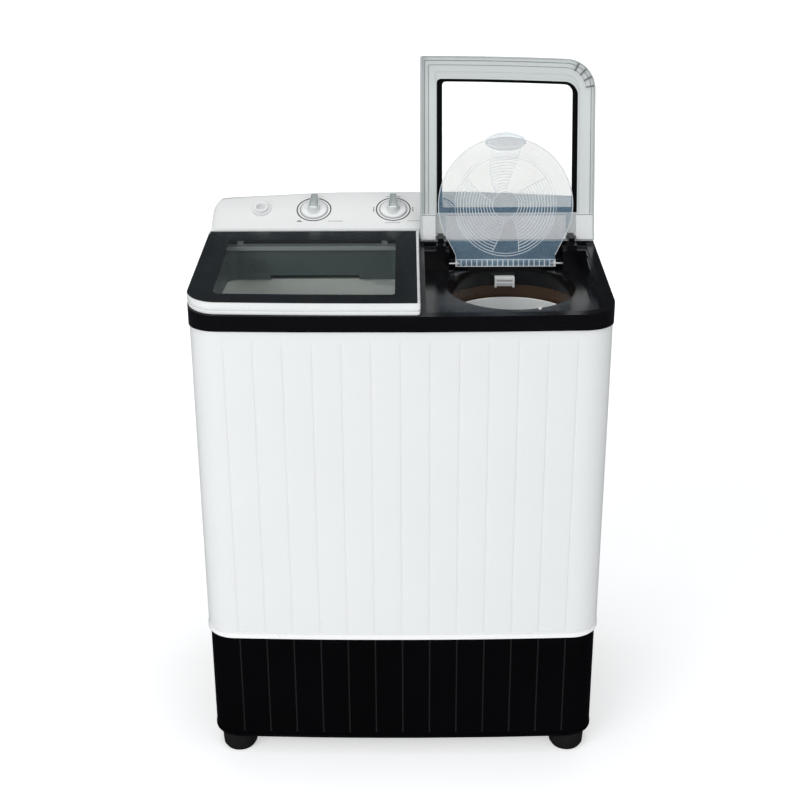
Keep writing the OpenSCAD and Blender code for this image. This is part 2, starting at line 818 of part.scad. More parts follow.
module inner_lid() color("#aebfd0", 0.45) safety() difference() {
    union() {
        intersection() {
            translate([0, disc_reach, -1.5]) cylinder(r = disc_r, h = 3);
            translate([-disc_r, -4, -5]) cube([2 * disc_r, 3 * disc_r, 10]);
        }
        translate([0, 0, -1.5]) linear_extrude(3)
            polygon([[-101, 4], [101, 4], [disc_r, disc_reach], [-disc_r, disc_reach]]);
        rod_x(-101, 0, 0, 6, 202);
        translate([-101, -6, -1.5]) cube([202, 12, 3]);
        translate([0, disc_reach, 1]) difference() {
            cylinder(r = 103, h = 4);
            translate([0, 0, -1]) cylinder(r = 101, h = 8);
        }
        translate([0, disc_reach, 1]) cylinder(r = 27, h = 3);
        translate([-40, disc_reach + disc_r - 22, 1]) cube([80, 3, 8]);
        for (s = [-1, 1]) translate([s * 99 - 1.5, 4, 1]) cube([3, 70, 4]);
    }
    for (i = [-7:7]) translate([i * 13 - 5, -4.5, 2]) cube([10, 9, 8]);
    for (a = [30, 150, 270], r = [44:12:92]) translate([0, disc_reach, -5]) intersection() {
        difference() {
            cylinder(r = r + 2, h = 10);
            translate([0, 0, -1]) cylinder(r = r - 2, h = 12);
        }
        rotate([0, 0, a]) linear_extrude(10) polygon([[0, 0], [120, -66], [120, 66]]);
    }
    for (x = [-102, 92]) rod_x(x, 0, 0, pin_r, 10);
}

module inner_lid_pins() color("#c8cacc") safety() for (x = [-117.5, 92]) rod_x(x, 0, 0, pin_r, 25.5);

// ---------- wash drive ----------

module pulsator() color("#d3d8da") translate([wash_x, wash_y, 0]) difference() {
    union() {
        rod(0, 0, floor_z + 9, pulsator_r, 7);
        translate([0, 0, floor_z + 16 - eps]) cylinder(r1 = 60, r2 = 26, h = 22);
        rod(0, 0, floor_z + 14, 24, 30);
        for (a = [0:45:315]) rotate([0, 0, a]) translate([20, -5, floor_z + 14])
            cube([pulsator_r - 26, 10, 14]);
    }
    rod(0, 0, floor_z, 8, 30);
    rod(0, 0, floor_z, 3, 60);
    rod(0, 0, floor_z + 40, 9, 20);
}

module pulsator_screw() color("#c3c6c8") translate([wash_x, wash_y, 0]) difference() {
    union() {
        rod(0, 0, floor_z + 22, 3 - eps, 18 + 2 * eps);
        rod(0, 0, floor_z + 40 + eps, 8, 4);
    }
    translate([-6, -0.6, floor_z + 42]) cube([12, 1.2, 4]);
}

module wash_shaft() color("#b9bcbe") difference() {
    union() {
        rod(wash_x, wash_y, 288, 8 - eps, floor_z + 30 - 288 - eps);
        rod(wash_x, wash_y, 288, 12, 8);
    }
    rod(wash_x, wash_y, floor_z + 21, 3, 20);
}

// grooved pulley turned about z, w wide, centred on belt_z
module pulley(r, bore, hub) translate([0, 0, belt_z]) difference() {
    rotate_extrude() polygon([[bore, -9], [hub, -9], [hub, -5], [r - 10, -5], [r - 10, -8], [r, -8],
        [r, -6], [r - 6, -2.5], [r - 6, 2.5], [r, 6], [r, 8], [r - 10, 8], [r - 10, 5], [hub, 5],
        [hub, 9], [bore, 9]]);
    if (r > 40) for (a = [0:60:300]) rotate([0, 0, a]) translate([r * 0.52, 0, -20])
        cylinder(r = r * 0.17, h = 40);
}

module driven_pulley() color("#a3a7aa") translate([wash_x, wash_y, 0])
    pulley(big_pulley_r, 8, 18);

module motor_pulley() color("#a3a7aa") translate([motor_x, motor_y, 0]) {
    pulley(small_pulley_r, 5, 9.5);
    rod(0, 0, 294, 6 - eps, 70);
}

module drive_belt() color("#1c1c1e") {
    dx = motor_x - wash_x;
    dy = motor_y - wash_y;
    c = sqrt(dx * dx + dy * dy);
    a = asin((big_pulley_r - small_pulley_r) / c);
    run = c * cos(a);
    thick = 7.6;
    translate([wash_x, wash_y, belt_z - 2]) rotate([0, 0, atan2(dy, dx)]) difference() {
        union() {
            cylinder(r = big_pulley_r + 2, h = 4);
            translate([c, 0, 0]) cylinder(r = small_pulley_r + 2, h = 4);
            for (s = [-1, 1]) rotate([0, 0, s * (90 - a)])
                translate([big_pulley_r + 2 - thick, s > 0 ? -run : 0, 0]) cube([thick, run, 4]);
        }
        translate([0, 0, -1]) cylinder(r = big_pulley_r + 2 - thick, h = 6);
        translate([c, 0, -1]) cylinder(r = small_pulley_r + 2 - thick, h = 6);
        translate([0, 0, -1]) linear_extrude(6) belt_core(c, a, 2 - thick);
    }
}

// space between the two straight runs of the belt
module belt_core(c, a, t) {
    r1 = big_pulley_r + t - eps;
    r2 = small_pulley_r + t - eps;
    polygon([[r1 * sin(a), r1 * cos(a)], [c + r2 * sin(a), r2 * cos(a)],
        [c + r2 * sin(a), -r2 * cos(a)], [r1 * sin(a), -r1 * cos(a)]]);
}

// ---------- spin drive ----------

module spin_basket() color("#e8eaea") translate([spin_x, spin_y, 0]) difference() {
    union() {
        rod(0, 0, 462, basket_r, 408);
        translate([0, 0, 868]) rotate_extrude() translate([basket_r + 0.5, 0]) circle(r = 4);
    }
    rod(0, 0, 465, basket_r - 2, 500);
    rod(0, 0, 450, 8, 40);
    for (z = [510:70:800], a = [0:30:330]) rotate([0, 0, a + (z % 100) * 0.3])
        translate([basket_r - 10, 0, z]) rotate([0, 90, 0]) cylinder(r = 4, h = 20);
}

module spin_shaft() color("#b9bcbe") translate([spin_x, spin_y, 0]) {
    rod(0, 0, 270, 8 - eps, 210);
    rod(0, 0, 465 + eps, 24, 4);
    rod(0, 0, 474, 14, 10);
}

module brake_drum() color("#84888b") translate([spin_x, spin_y, 0]) difference() {
    union() {
        rod(0, 0, 384, 46, 18);
        rod(0, 0, 366, 16, 44);
    }
    rod(0, 0, 360, 8, 60);
    translate([0, 0, 388]) difference() {
        rod(0, 0, 0, 42, 20);
        rod(0, 0, -1, 16, 22);
    }
}

module brake_lever() color("#caa23a") difference() {
    union() {
        translate([spin_x + 76, spin_y, 405.3]) {
            cylinder(r = 8, h = 6);
            translate([-8, 0, 0]) cube([16, 70, 6]);
        }
        translate([spin_x + 34, spin_y - 30, 386]) cube([26, 22, 25.3]);
        translate([spin_x + 50, spin_y - 30, 405.3]) cube([24, 36, 6]);
    }
    rod(spin_x + 76, spin_y, 380, 4.05, 60);
    rod(spin_x, spin_y, 380, 46 + gap, 40);
}

module drain_plunger() color("#2c2d2f") {
    rod(valve_x, valve_y, 304 + eps, 15, 8);
    rod(valve_x, valve_y, 310, 3, 230);
    translate([valve_x, valve_y, 536]) rotate([90, 0, 0]) translate([0, 0, -2])
        difference() {
            cylinder(r = 8, h = 4);
            translate([0, 0, -1]) cylinder(r = 4.5, h = 6);
        }
}

base();
feet();
cabinet();
back_cover();
cover_screws();
cord_gland();
top_deck();
tub_screws();
wash_hinge_bar();
spin_hinge_bar();
lid_buffers();
wash_tub();
lint_filter();
spin_well();
rinse_spout();
shaft_seal();
control_panel();
panel_screws();
dial_rings();
water_inlet();
inlet_duct();
wash_timer();
selector_switch();
spin_timer();
gearcase();
wash_motor();
motor_mount();
motor_bolts();
drive_belt();
spin_motor();
spin_motor_bracket();
damper_springs();
capacitor();
drain_valve();
drain_hoses();
drain_outlet();
wash_lid_frame();
wash_lid_glass();
wash_lid_border();
wash_lid_pins();
spin_lid_frame();
spin_lid_glass();
spin_lid_border();
spin_lid_pins();
inner_lid();
inner_lid_pins();
wash_knob();
selector_knob();
spin_knob();
pulsator();
pulsator_screw();
wash_shaft();
driven_pulley();
motor_pulley();
spin_basket();
spin_shaft();
brake_drum();
brake_lever();
drain_plunger();
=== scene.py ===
"""Twin tub washing machine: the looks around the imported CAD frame. Lengths in mm until built."""
import json
import math

import bmesh
import bpy
from mathutils import Matrix, Vector


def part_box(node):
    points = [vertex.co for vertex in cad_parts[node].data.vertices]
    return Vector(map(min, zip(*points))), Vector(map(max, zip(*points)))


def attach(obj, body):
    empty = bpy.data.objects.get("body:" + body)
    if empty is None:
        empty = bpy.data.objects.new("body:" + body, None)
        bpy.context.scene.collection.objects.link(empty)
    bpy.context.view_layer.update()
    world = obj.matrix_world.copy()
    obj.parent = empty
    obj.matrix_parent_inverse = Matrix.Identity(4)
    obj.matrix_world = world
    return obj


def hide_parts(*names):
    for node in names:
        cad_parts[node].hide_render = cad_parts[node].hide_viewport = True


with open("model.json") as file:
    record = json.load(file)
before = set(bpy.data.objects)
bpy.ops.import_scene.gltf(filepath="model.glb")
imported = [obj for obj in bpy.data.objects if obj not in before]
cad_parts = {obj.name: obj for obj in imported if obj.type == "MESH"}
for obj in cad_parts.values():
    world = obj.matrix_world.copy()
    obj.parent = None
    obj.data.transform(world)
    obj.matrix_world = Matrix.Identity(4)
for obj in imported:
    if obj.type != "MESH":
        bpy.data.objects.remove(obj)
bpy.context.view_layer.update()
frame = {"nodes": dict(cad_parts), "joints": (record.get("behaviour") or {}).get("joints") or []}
MM = 0.001
PI = math.pi


# ---------- numbers from the frame ----------


def box(node):
    """Lowest and highest corners of a CAD node, in mm."""
    lo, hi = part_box(node)
    return [v / MM for v in lo], [v / MM for v in hi]


def joint(name):
    return next(j for j in frame["joints"] if j["name"] == name)


DECK_LO, DECK_HI = box("top_deck")
HALF = DECK_HI[0]
Y0, Y1 = DECK_LO[1], DECK_HI[1]
DECK_Z = DECK_LO[2] + 8
BOW = 10.0
FRONT_R, REAR_R = 62.0, 22.0
CAB_LO, CAB_HI = box("cabinet")
CAB_Z = CAB_LO[2] - 0.3
GROOVE_PITCH = 53.4
LID_DEPTH = 371.5
LID_REAR_Z = 1007.0
LID_FRONT_Z = 957.0
SLOPE = math.atan((LID_REAR_Z - LID_FRONT_Z) / LID_DEPTH)
LID_Y = Y0 + LID_DEPTH
LID_LEN = LID_DEPTH / math.cos(SLOPE)
AXIS_Y, AXIS_Z = -17.0, -10.0
HINGE = Vector(joint("spin_lid_hinge")["pos_m"]) / MM
SAFETY = Vector(joint("safety_lid_hinge")["pos_m"]) / MM
SPLIT_X = 36.5
LEAN, INNER_LEAN = 14.0, 14.8
PANEL_TOP_Z = 1063.0
PANEL_Y = LID_Y + 0.5
PANEL_A = math.atan((PANEL_TOP_Z - LID_REAR_Z) / (Y1 - PANEL_Y))
PANEL_MID = (0.0, (PANEL_Y + Y1) / 2, (PANEL_TOP_Z + LID_REAR_Z) / 2)
CONTROLS_X = (-290.0, -181.0, -17.0, 76.0)
KNOBS = (("wash_knob", -181.0, "wash_timer_knob"), ("selector_knob", -17.0, "selector"),
         ("spin_knob", 76.0, "spin_timer_knob"))
DIAL_R = 36.3
DISC_R, DISC_REACH = 136.0, 117.5


def move(x=0.0, y=0.0, z=0.0):
    return Matrix.Translation((x, y, z))


def turn(deg):
    return Matrix.Rotation(math.radians(deg), 4, "X")


SHUT = move(0, LID_Y, LID_REAR_Z) @ turn(math.degrees(SLOPE))
OPENED = move(0, HINGE.y, HINGE.z) @ turn(-90 - LEAN) @ move(0, -AXIS_Y, -AXIS_Z)
SAFE = move(SAFETY.x, SAFETY.y, SAFETY.z) @ turn(90 - INNER_LEAN)


def on_panel(x):
    return move(x, PANEL_MID[1], PANEL_MID[2]) @ turn(math.degrees(PANEL_A))


# ---------- materials ----------


class Tree:
    """A small helper that builds a material's nodes."""

    def __init__(self, name):
        self.mat = bpy.data.materials.new(name)
        self.mat.use_nodes = True
        self.nodes = self.mat.node_tree.nodes
        self.links = self.mat.node_tree.links
        self.bsdf = self.nodes["Principled BSDF"]
        self.out = self.nodes["Material Output"]
        self.coord = self.nodes.new("ShaderNodeTexCoord").outputs["Object"]

    def set(self, **values):
        for key, value in values.items():
            self.bsdf.inputs[key.replace("_", " ")].default_value = value

    def noise(self, scale, detail=3.0, rough=0.55, stretch=None):
        n = self.nodes.new("ShaderNodeTexNoise")
        n.inputs["Scale"].default_value = scale
        n.inputs["Detail"].default_value = detail
        n.inputs["Roughness"].default_value = rough
        source = self.coord
        if stretch:
            m = self.nodes.new("ShaderNodeMapping")
            m.inputs["Scale"].default_value = stretch
            self.links.new(self.coord, m.inputs["Vector"])
            source = m.outputs["Vector"]
        self.links.new(source, n.inputs["Vector"])
        return n.outputs["Fac"]

    def ramp(self, fac, stops):
        r = self.nodes.new("ShaderNodeValToRGB")
        e = r.color_ramp.elements
        while len(e) < len(stops):
            e.new(0.5)
        for el, (pos, col) in zip(e, stops):
            el.position = pos
            el.color = (*col, 1.0) if len(col) == 3 else col
        self.links.new(fac, r.inputs["Fac"])
        return r.outputs["Color"]

    def span(self, fac, low, high, a=0.3, b=0.7):
        m = self.nodes.new("ShaderNodeMapRange")
        m.inputs["From Min"].default_value = a
        m.inputs["From Max"].default_value = b
        m.inputs["To Min"].default_value = low
        m.inputs["To Max"].default_value = high
        self.links.new(fac, m.inputs["Value"])
        return m.outputs["Result"]

    def mix(self, fac, a, b):
        m = self.nodes.new("ShaderNodeMix")
        m.data_type = "RGBA"
        for socket, value in ((m.inputs["Factor"], fac), (m.inputs["A"], a), (m.inputs["B"], b)):
            self.feed(socket, value)
        return m.outputs["Result"]

    def math(self, op, a, b=0.0):
        m = self.nodes.new("ShaderNodeMath")
        m.operation = op
        self.feed(m.inputs[0], a)
        self.feed(m.inputs[1], b)
        return m.outputs["Value"]

    def feed(self, socket, value):
        if isinstance(value, bpy.types.NodeSocket):
            self.links.new(value, socket)
        elif isinstance(value, tuple) and len(value) == 3:
            socket.default_value = (*value, 1.0)
        else:
            socket.default_value = value

    def edge(self, low=0.52, high=0.62):
        """1 along worn convex edges."""
        g = self.nodes.new("ShaderNodeNewGeometry")
        return self.span(g.outputs["Pointiness"], 0.0, 1.0, low, high)

    def bump(self, height, distance, strength=1.0, normal=None):
        b = self.nodes.new("ShaderNodeBump")
        b.inputs["Distance"].default_value = distance
        b.inputs["Strength"].default_value = strength
        self.links.new(height, b.inputs["Height"])
        if normal is not None:
            self.links.new(normal, b.inputs["Normal"])
        return b.outputs["Normal"]

    def plug(self, **sockets):
        for key, value in sockets.items():
            self.links.new(value, self.bsdf.inputs[key.replace("_", " ")])
        return self.mat


def shade(color, k):
    return tuple(min(1.0, c * k) for c in color)


def plastic(name, color, rough=0.3, spread=0.05, grain=0.0, grain_scale=1400.0, coat=0.0,
            vary=0.03, wear=0.0, wear_color=None, orange_peel=0.0, ior=1.5, shine=0.5):
    """Moulded plastic: slow colour drift, uneven gloss, mould grain or orange peel, rubbed edges."""
    t = Tree(name)
    drift = t.noise(4.5, 4.0)
    base = t.ramp(drift, [(0.25, shade(color, 1 - vary)), (0.75, shade(color, 1 + vary))])
    if wear:
        base = t.mix(t.math("MULTIPLY", t.edge(), wear), base, wear_color or shade(color, 1.6))
    smear = t.noise(22.0, 5.0, 0.65)
    t.set(IOR=ior, Coat_Weight=coat, Coat_Roughness=0.05, Specular_IOR_Level=shine)
    normal = None
    if orange_peel:
        normal = t.bump(t.noise(120.0, 2.0), orange_peel * 0.001)
    if grain:
        normal = t.bump(t.noise(grain_scale, 2.0, 0.6), grain * 0.001, normal=normal)
    sockets = {"Base_Color": base, "Roughness": t.span(smear, rough - spread, rough + spread)}
    if normal is not None:
        sockets["Normal"] = normal
    return t.plug(**sockets)


def metal(name, color, rough=0.35, brushed=None, pits=0.0, spread=0.1, metallic=1.0):
    t = Tree(name)
    t.set(Metallic=metallic)
    n = t.noise(60.0, 5.0)
    base = t.ramp(n, [(0.3, shade(color, 0.88)), (0.7, shade(color, 1.06))])
    base = t.mix(t.math("MULTIPLY", t.edge(), 0.4), base, shade(color, 1.25))
    fine = t.noise(400.0, 3.0, 0.6, brushed)
    height = t.noise(180.0 if pits else 900.0, 4.0, 0.6, brushed)
    return t.plug(Base_Color=base, Roughness=t.span(fine, rough - spread, rough + spread),
                  Normal=t.bump(height, (pits or 0.02) * 0.001))


def rubber(name, color, rough=0.75):
    t = Tree(name)
    base = t.ramp(t.noise(30.0, 5.0), [(0.3, shade(color, 0.8)), (0.75, shade(color, 1.7))])
    return t.plug(Base_Color=base, Roughness=t.span(t.noise(90.0), rough - 0.08, rough + 0.08),
                  Normal=t.bump(t.noise(700.0, 3.0), 0.00006))


def clear(name, tint, haze, rough=0.02, body=(0.5, 0.5, 0.5), mirror=1.0, dirt=0.04, ior=1.49,
          ripple=0.00001):
    """See-through sheet: what is behind it times tint, plus a share of haze and a mirror gloss."""
    t = Tree(name)
    drift = t.noise(14.0, 5.0, 0.6)
    t.set(IOR=ior)
    t.plug(Base_Color=t.ramp(drift, [(0.3, shade(body, 0.9)), (0.7, shade(body, 1.1))]),
           Roughness=t.span(t.noise(35.0, 4.0), max(rough - 0.01, 0.005), rough + 0.03),
           Normal=t.bump(t.noise(30.0, 2.0), ripple))
    see = t.nodes.new("ShaderNodeBsdfTransparent")
    t.feed(see.inputs["Color"], t.ramp(drift, [(0.2, shade(tint, 0.97)), (0.8, tint)]))
    facing = t.nodes.new("ShaderNodeLayerWeight").outputs["Facing"]
    gloss = t.math("MULTIPLY", t.math("POWER", facing, 5.0), 0.96 * mirror)
    fac = t.math("ADD", t.math("ADD", gloss, 0.04 * mirror), t.span(drift, haze, haze + dirt))
    m = t.nodes.new("ShaderNodeMixShader")
    t.links.new(t.math("MINIMUM", fac, 1.0), m.inputs["Fac"])
    t.links.new(see.outputs["BSDF"], m.inputs[1])
    t.links.new(t.bsdf.outputs["BSDF"], m.inputs[2])
    t.links.new(m.outputs["Shader"], t.out.inputs["Surface"])
    return t.mat


WHITE = (0.80, 0.815, 0.81)
M = {
    "white": plastic("white_plastic", WHITE, 0.33, 0.05, grain=0.012, vary=0.012, ior=1.46,
                     orange_peel=0.006),
    "lid_white": plastic("lid_white_plastic", (0.80, 0.815, 0.81), 0.28, 0.05, grain=0.01,
                         vary=0.012, orange_peel=0.006),
    # A darker copy of the lid white for the open spin lid's moulding: painted shade.
    "lid_inside": plastic("lid_white_painted_shade", (0.66, 0.695, 0.69), 0.42, 0.05, grain=0.02,
                          vary=0.012),
    "panel_white": plastic("panel_white_plastic", (0.765, 0.775, 0.77), 0.36, 0.05, grain=0.02,
                           vary=0.01),
    # A brighter white than the cabinet for the rolled lip of the same wrapper: painted light on its shaded
    # foot.
    "lip": plastic("lip_white_painted_light", (0.93, 0.935, 0.93), 0.3, 0.05, grain=0.01, vary=0.02),
    "black": plastic("deck_black_plastic", (0.003, 0.003, 0.0042), 0.16, 0.05, vary=0.15,
                     orange_peel=0.01, wear=0.12, wear_color=(0.02, 0.02, 0.024), shine=0.4),
    "collar": plastic("collar_grey_plastic", (0.105, 0.125, 0.128), 0.4, 0.05, vary=0.04, grain=0.02,
                      shine=0.3),
    "satin": plastic("base_black_plastic", (0.0018, 0.0018, 0.0024), 0.42, 0.06, grain=0.03,
                     grain_scale=1100.0, vary=0.2, wear=0.3, wear_color=(0.012, 0.012, 0.014),
                     shine=0.05),
    # Lighter and shinier than the base black, laid down the grooves of the base: a painted highlight.
    "groove_highlight": plastic("base_groove_painted_highlight", (0.012, 0.012, 0.013), 0.4, 0.05, vary=0.1, shine=0.2),
    "foot": rubber("foot_rubber", (0.003, 0.003, 0.0035), 0.7),
    "frit": plastic("frit_black", (0.011, 0.0115, 0.0155), 0.25, 0.03, vary=0.08, grain=0.004,
                    shine=0.2),
    # Dark grey for the spin lid's corner ribs and thin lines: painted shade for the shadow lines of the
    # moulding.
    "rib": plastic("painted_shade_line_plastic", (0.16, 0.17, 0.17), 0.45, 0.05, grain=0.02),
    "bezel": plastic("bezel_black", (0.0012, 0.0012, 0.0014), 0.4, 0.03, vary=0.1, shine=0.06),
    "smoked": clear("smoked_glass", (0.935, 0.955, 0.945), 0.0, body=(0.16, 0.18, 0.19), mirror=0.35,
                    dirt=0.015),
    "glass": clear("clear_glass", (0.955, 0.975, 0.97), 0.0, body=(0.6, 0.65, 0.66), mirror=0.8,
                   dirt=0.02),
    "blue": clear("clear_blue_plastic", (0.942, 0.893, 0.854), 0.11, rough=0.1,
                  body=(0.42, 0.68, 0.98), mirror=0.35, dirt=0.02),
    "blue_edge": clear("clear_blue_ribs", (0.93, 0.945, 0.955), 0.5, rough=0.25,
                       body=(0.94, 0.965, 0.975), mirror=0.4, dirt=0.08),
    "frosted": clear("frosted_grip", (0.93, 0.94, 0.94), 0.3, rough=0.35,
                     body=(0.84, 0.87, 0.89), mirror=0.4, dirt=0.1),
    "tub": plastic("tub_grey_plastic", (0.88, 0.885, 0.86), 0.32, 0.06, grain=0.02, vary=0.02),
    # The dark warm tone on the spin well stands for its wall in shade with a warm reflection: painted
    # shade and a painted reflection.
    "well_shade": plastic("spin_well_painted_shade", (0.06, 0.03, 0.014), 0.3, 0.06, grain=0.03, vary=0.1),
    "part_white": plastic("part_white_plastic", (0.84, 0.85, 0.845), 0.33, 0.05, grain=0.02),
    "basket": plastic("basket_plastic", (0.93, 0.945, 0.94), 0.3, 0.05, grain=0.02, vary=0.015),
    "cream": plastic("cream_plastic", (0.62, 0.61, 0.54), 0.45, 0.06, grain=0.04),
    "grey": plastic("dark_grey_plastic", (0.05, 0.053, 0.06), 0.45, 0.06, grain=0.04),
    "bar": plastic("hinge_bar_plastic", (0.40, 0.42, 0.42), 0.4, 0.05, grain=0.03),
    "ring": plastic("ring_dark", (0.010, 0.011, 0.013), 0.35, 0.05, vary=0.1, grain=0.01),
    "ring_grey": plastic("ring_grey", (0.22, 0.23, 0.24), 0.35, 0.05, grain=0.01),
    "knob": plastic("knob_plastic", (0.78, 0.80, 0.79), 0.22, 0.05, grain=0.02, vary=0.02, coat=0.2),
    "knob_grip": plastic("knob_grip_plastic", (0.36, 0.40, 0.40), 0.24, 0.05, grain=0.02, vary=0.05,
                         coat=0.3),
    "zinc": metal("zinc_steel", (0.58, 0.60, 0.62), 0.32),
    "steel": metal("ground_steel", (0.62, 0.63, 0.64), 0.22, brushed=(1, 1, 30)),
    "galvanised": metal("galvanised_steel", (0.50, 0.52, 0.54), 0.42, pits=0.05),
    "iron": metal("cast_iron", (0.16, 0.165, 0.17), 0.55, pits=0.25, metallic=0.8),
    "alloy": metal("cast_alloy", (0.55, 0.56, 0.57), 0.4, pits=0.12),
    "motor": plastic("motor_lacquer", (0.045, 0.05, 0.056), 0.38, 0.08, grain=0.06, wear=0.5,
                     wear_color=(0.2, 0.2, 0.21)),
    "yellow_zinc": metal("yellow_zinc", (0.55, 0.42, 0.16), 0.35),
    "rubber": rubber("black_rubber", (0.014, 0.014, 0.015)),
    "cover": plastic("cover_paint", (0.52, 0.54, 0.53), 0.42, 0.06, grain=0.05, orange_peel=0.03),
    "buffer": rubber("buffer_rubber", (0.55, 0.55, 0.53), 0.5),
}

NODE_LOOKS = {
    "base": "satin", "feet": "foot", "cabinet": "white", "back_cover": "cover",
    "cover_screws": "zinc", "cord_gland": "grey", "top_deck": "black", "tub_screws": "zinc",
    "wash_hinge_bar": "bar", "spin_hinge_bar": "black", "lid_buffers": "buffer",
    "wash_tub": "tub", "lint_filter": "part_white", "spin_well": "well_shade",
    "rinse_spout": "part_white", "shaft_seal": "rubber", "control_panel": "panel_white",
    "panel_screws": "zinc", "dial_rings": "ring", "water_inlet": "part_white",
    "inlet_duct": "collar", "wash_timer": "cream", "selector_switch": "grey",
    "spin_timer": "cream", "gearcase": "iron", "wash_motor": "motor",
    "motor_mount": "galvanised", "motor_bolts": "zinc", "drive_belt": "rubber",
    "spin_motor": "motor", "spin_motor_bracket": "galvanised", "damper_springs": "steel",
    "capacitor": "cream", "drain_valve": "part_white", "drain_hoses": "rubber",
    "drain_outlet": "grey", "wash_lid_frame": "lid_white", "wash_lid_glass": "smoked",
    "wash_lid_border": "frit", "wash_lid_pins": "steel", "spin_lid_frame": "lid_white",
    "spin_lid_glass": "glass", "spin_lid_border": "frit", "spin_lid_pins": "steel",
    "inner_lid": "blue", "inner_lid_pins": "steel", "wash_knob": "knob",
    "selector_knob": "knob", "spin_knob": "knob", "pulsator": "tub", "pulsator_screw": "zinc",
    "wash_shaft": "steel", "driven_pulley": "alloy", "motor_pulley": "alloy",
    "spin_basket": "basket", "spin_shaft": "steel", "brake_drum": "iron",
    "brake_lever": "yellow_zinc", "drain_plunger": "rubber",
}
for node_name, look in NODE_LOOKS.items():
    node_object = frame["nodes"][node_name]
    node_object.data.materials.clear()
    node_object.data.materials.append(M[look])


# ---------- mesh helpers ----------


def new_piece(name, bm, material, body, nodes=(), place=None, smooth=40.0):
    """Turn mm geometry into a finished object that rides on a body."""
    bmesh.ops.remove_doubles(bm, verts=bm.verts, dist=1e-4)
    bmesh.ops.recalc_face_normals(bm, faces=bm.faces)
    if place is not None:
        bm.transform(place)
    bm.transform(Matrix.Scale(MM, 4))
    mesh = bpy.data.meshes.new(name)
    bm.to_mesh(mesh)
    bm.free()
    ob = bpy.data.objects.new(name, mesh)
    bpy.context.scene.collection.objects.link(ob)
    for m in material if isinstance(material, (list, tuple)) else [material]:
        mesh.materials.append(M[m])
    mesh.shade_smooth()
    mesh.set_sharp_from_angle(angle=math.radians(smooth))
    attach(ob, body)
    if nodes:
        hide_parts(*nodes)


def refine(node, bevel):
    """Round the edges of a CAD node with modifiers; its vertices stay."""
    ob = frame["nodes"][node]
    mesh = ob.data
    if "custom_normal" in mesh.attributes:
        mesh.attributes.remove(mesh.attributes["custom_normal"])
    mesh.shade_smooth()
    ob.modifiers.new("weld", "WELD").merge_threshold = 1e-5
    d = ob.modifiers.new("flat", "DECIMATE")
    d.decimate_type = "DISSOLVE"
    d.angle_limit = math.radians(1.0)
    b = ob.modifiers.new("edge", "BEVEL")
    b.width = bevel * MM
    b.segments = 2
    b.limit_method = "ANGLE"
    b.angle_limit = math.radians(32.0)
    ob.modifiers.new("normals", "WEIGHTED_NORMAL").keep_sharp = True


def loft(bm, loops, ring=False):
    """Skin a list of closed point loops with quads; a ring joins its last loop to its first."""
    rows = [[bm.verts.new(p) for p in loop] for loop in loops]
    n = len(rows[0])
    pairs = list(zip(rows, rows[1:]))
    if ring:
        pairs.append((rows[-1], rows[0]))
    for a, b in pairs:
        for i in range(n):
            j = (i + 1) % n
            bm.faces.new([a[i], a[j], b[j], b[i]])
    if not ring:
        bm.faces.new(rows[0][::-1])
        bm.faces.new(rows[-1])
    return rows


def lathe(bm, profile, n=64):
    """Turn a closed profile of (radius, z) points about the z axis."""
    turns = [2 * PI * i / n for i in range(n)]
    loft(bm, [[(r * math.cos(a), r * math.sin(a), z) for r, z in profile] for a in turns], ring=True)


def disc_lathe(bm, profile, n=64):
    """Turn an open profile about the z axis and close both ends with flat discs."""
    loft(bm, [[(r * math.cos(2 * PI * i / n), r * math.sin(2 * PI * i / n), z) for i in range(n)]
              for r, z in profile])


def block(bm, lo, hi):
    """Axis-aligned box."""
    v = [bm.verts.new((x, y, z)) for x in (lo[0], hi[0]) for y in (lo[1], hi[1])
         for z in (lo[2], hi[2])]
    for f in ((0, 1, 3, 2), (4, 6, 7, 5), (0, 4, 5, 1), (2, 3, 7, 6), (0, 2, 6, 4), (1, 5, 7, 3)):
        bm.faces.new([v[i] for i in f])


def prism(bm, points, z0, z1):
    loft(bm, [[(x, y, z0) for x, y in points], [(x, y, z1) for x, y in points]])


# ---------- outline of the body ----------

GROOVES = [i * GROOVE_PITCH for i in range(-6, 7)]
CORNER_POINTS = 15
REAR_POINTS = 18
GROOVE_SHAPE = [(-3.4, 0.0), (-2.6, 0.06), (-1.5, 0.6), (-0.6, 0.96), (0.0, 1.0), (0.6, 0.96),
                (1.5, 0.6), (2.6, 0.06), (3.4, 0.0)]


def bow_y(x, inset):
    rb = (HALF ** 2 + BOW ** 2) / (2 * BOW) - inset
    return Y0 + inset + rb - math.sqrt(rb * rb - x * x)


def corner_data(inset):
    """Centre and start angle of the right front corner arc, tangent to bow and side."""
    hw, yf = HALF - inset, Y0 + inset
    rb = (HALF ** 2 + BOW ** 2) / (2 * BOW) - inset
    rf = FRONT_R - inset
    cx = hw - rf
    cy = yf + rb - math.sqrt((rb - rf) ** 2 - cx * cx)
    return cx, cy, rf, math.atan2(cy - yf - rb, cx)


def front_right(inset, n=CORNER_POINTS - 1):
    cx, cy, rf, a0 = corner_data(inset)
    return [(cx + rf * math.cos(a0 - a0 * i / n), cy + rf * math.sin(a0 - a0 * i / n))
            for i in range(n + 1)]


def body_loop(z, inset, back, depth):
    """Closed outline at height z, counter-clockwise from the left front corner."""
    right = front_right(inset)
    left = [(-x, y) for x, y in reversed(right)]
    front = []
    for g in GROOVES:
        for dx, k in GROOVE_SHAPE:
            x = g + dx
            front.append((x, bow_y(x, inset) + depth * k))
    hw = HALF - inset
    yb = Y1 - back
    rr = max(REAR_R - inset, 2)
    turns = [PI / 2 * i / 8 for i in range(REAR_POINTS // 2)]
    rear = [(hw - rr + rr * math.cos(t), yb - rr + rr * math.sin(t)) for t in turns]
    ring = left + front + right + rear + [(-x, y) for x, y in reversed(rear)]
    return [(x, y, z) for x, y in ring]


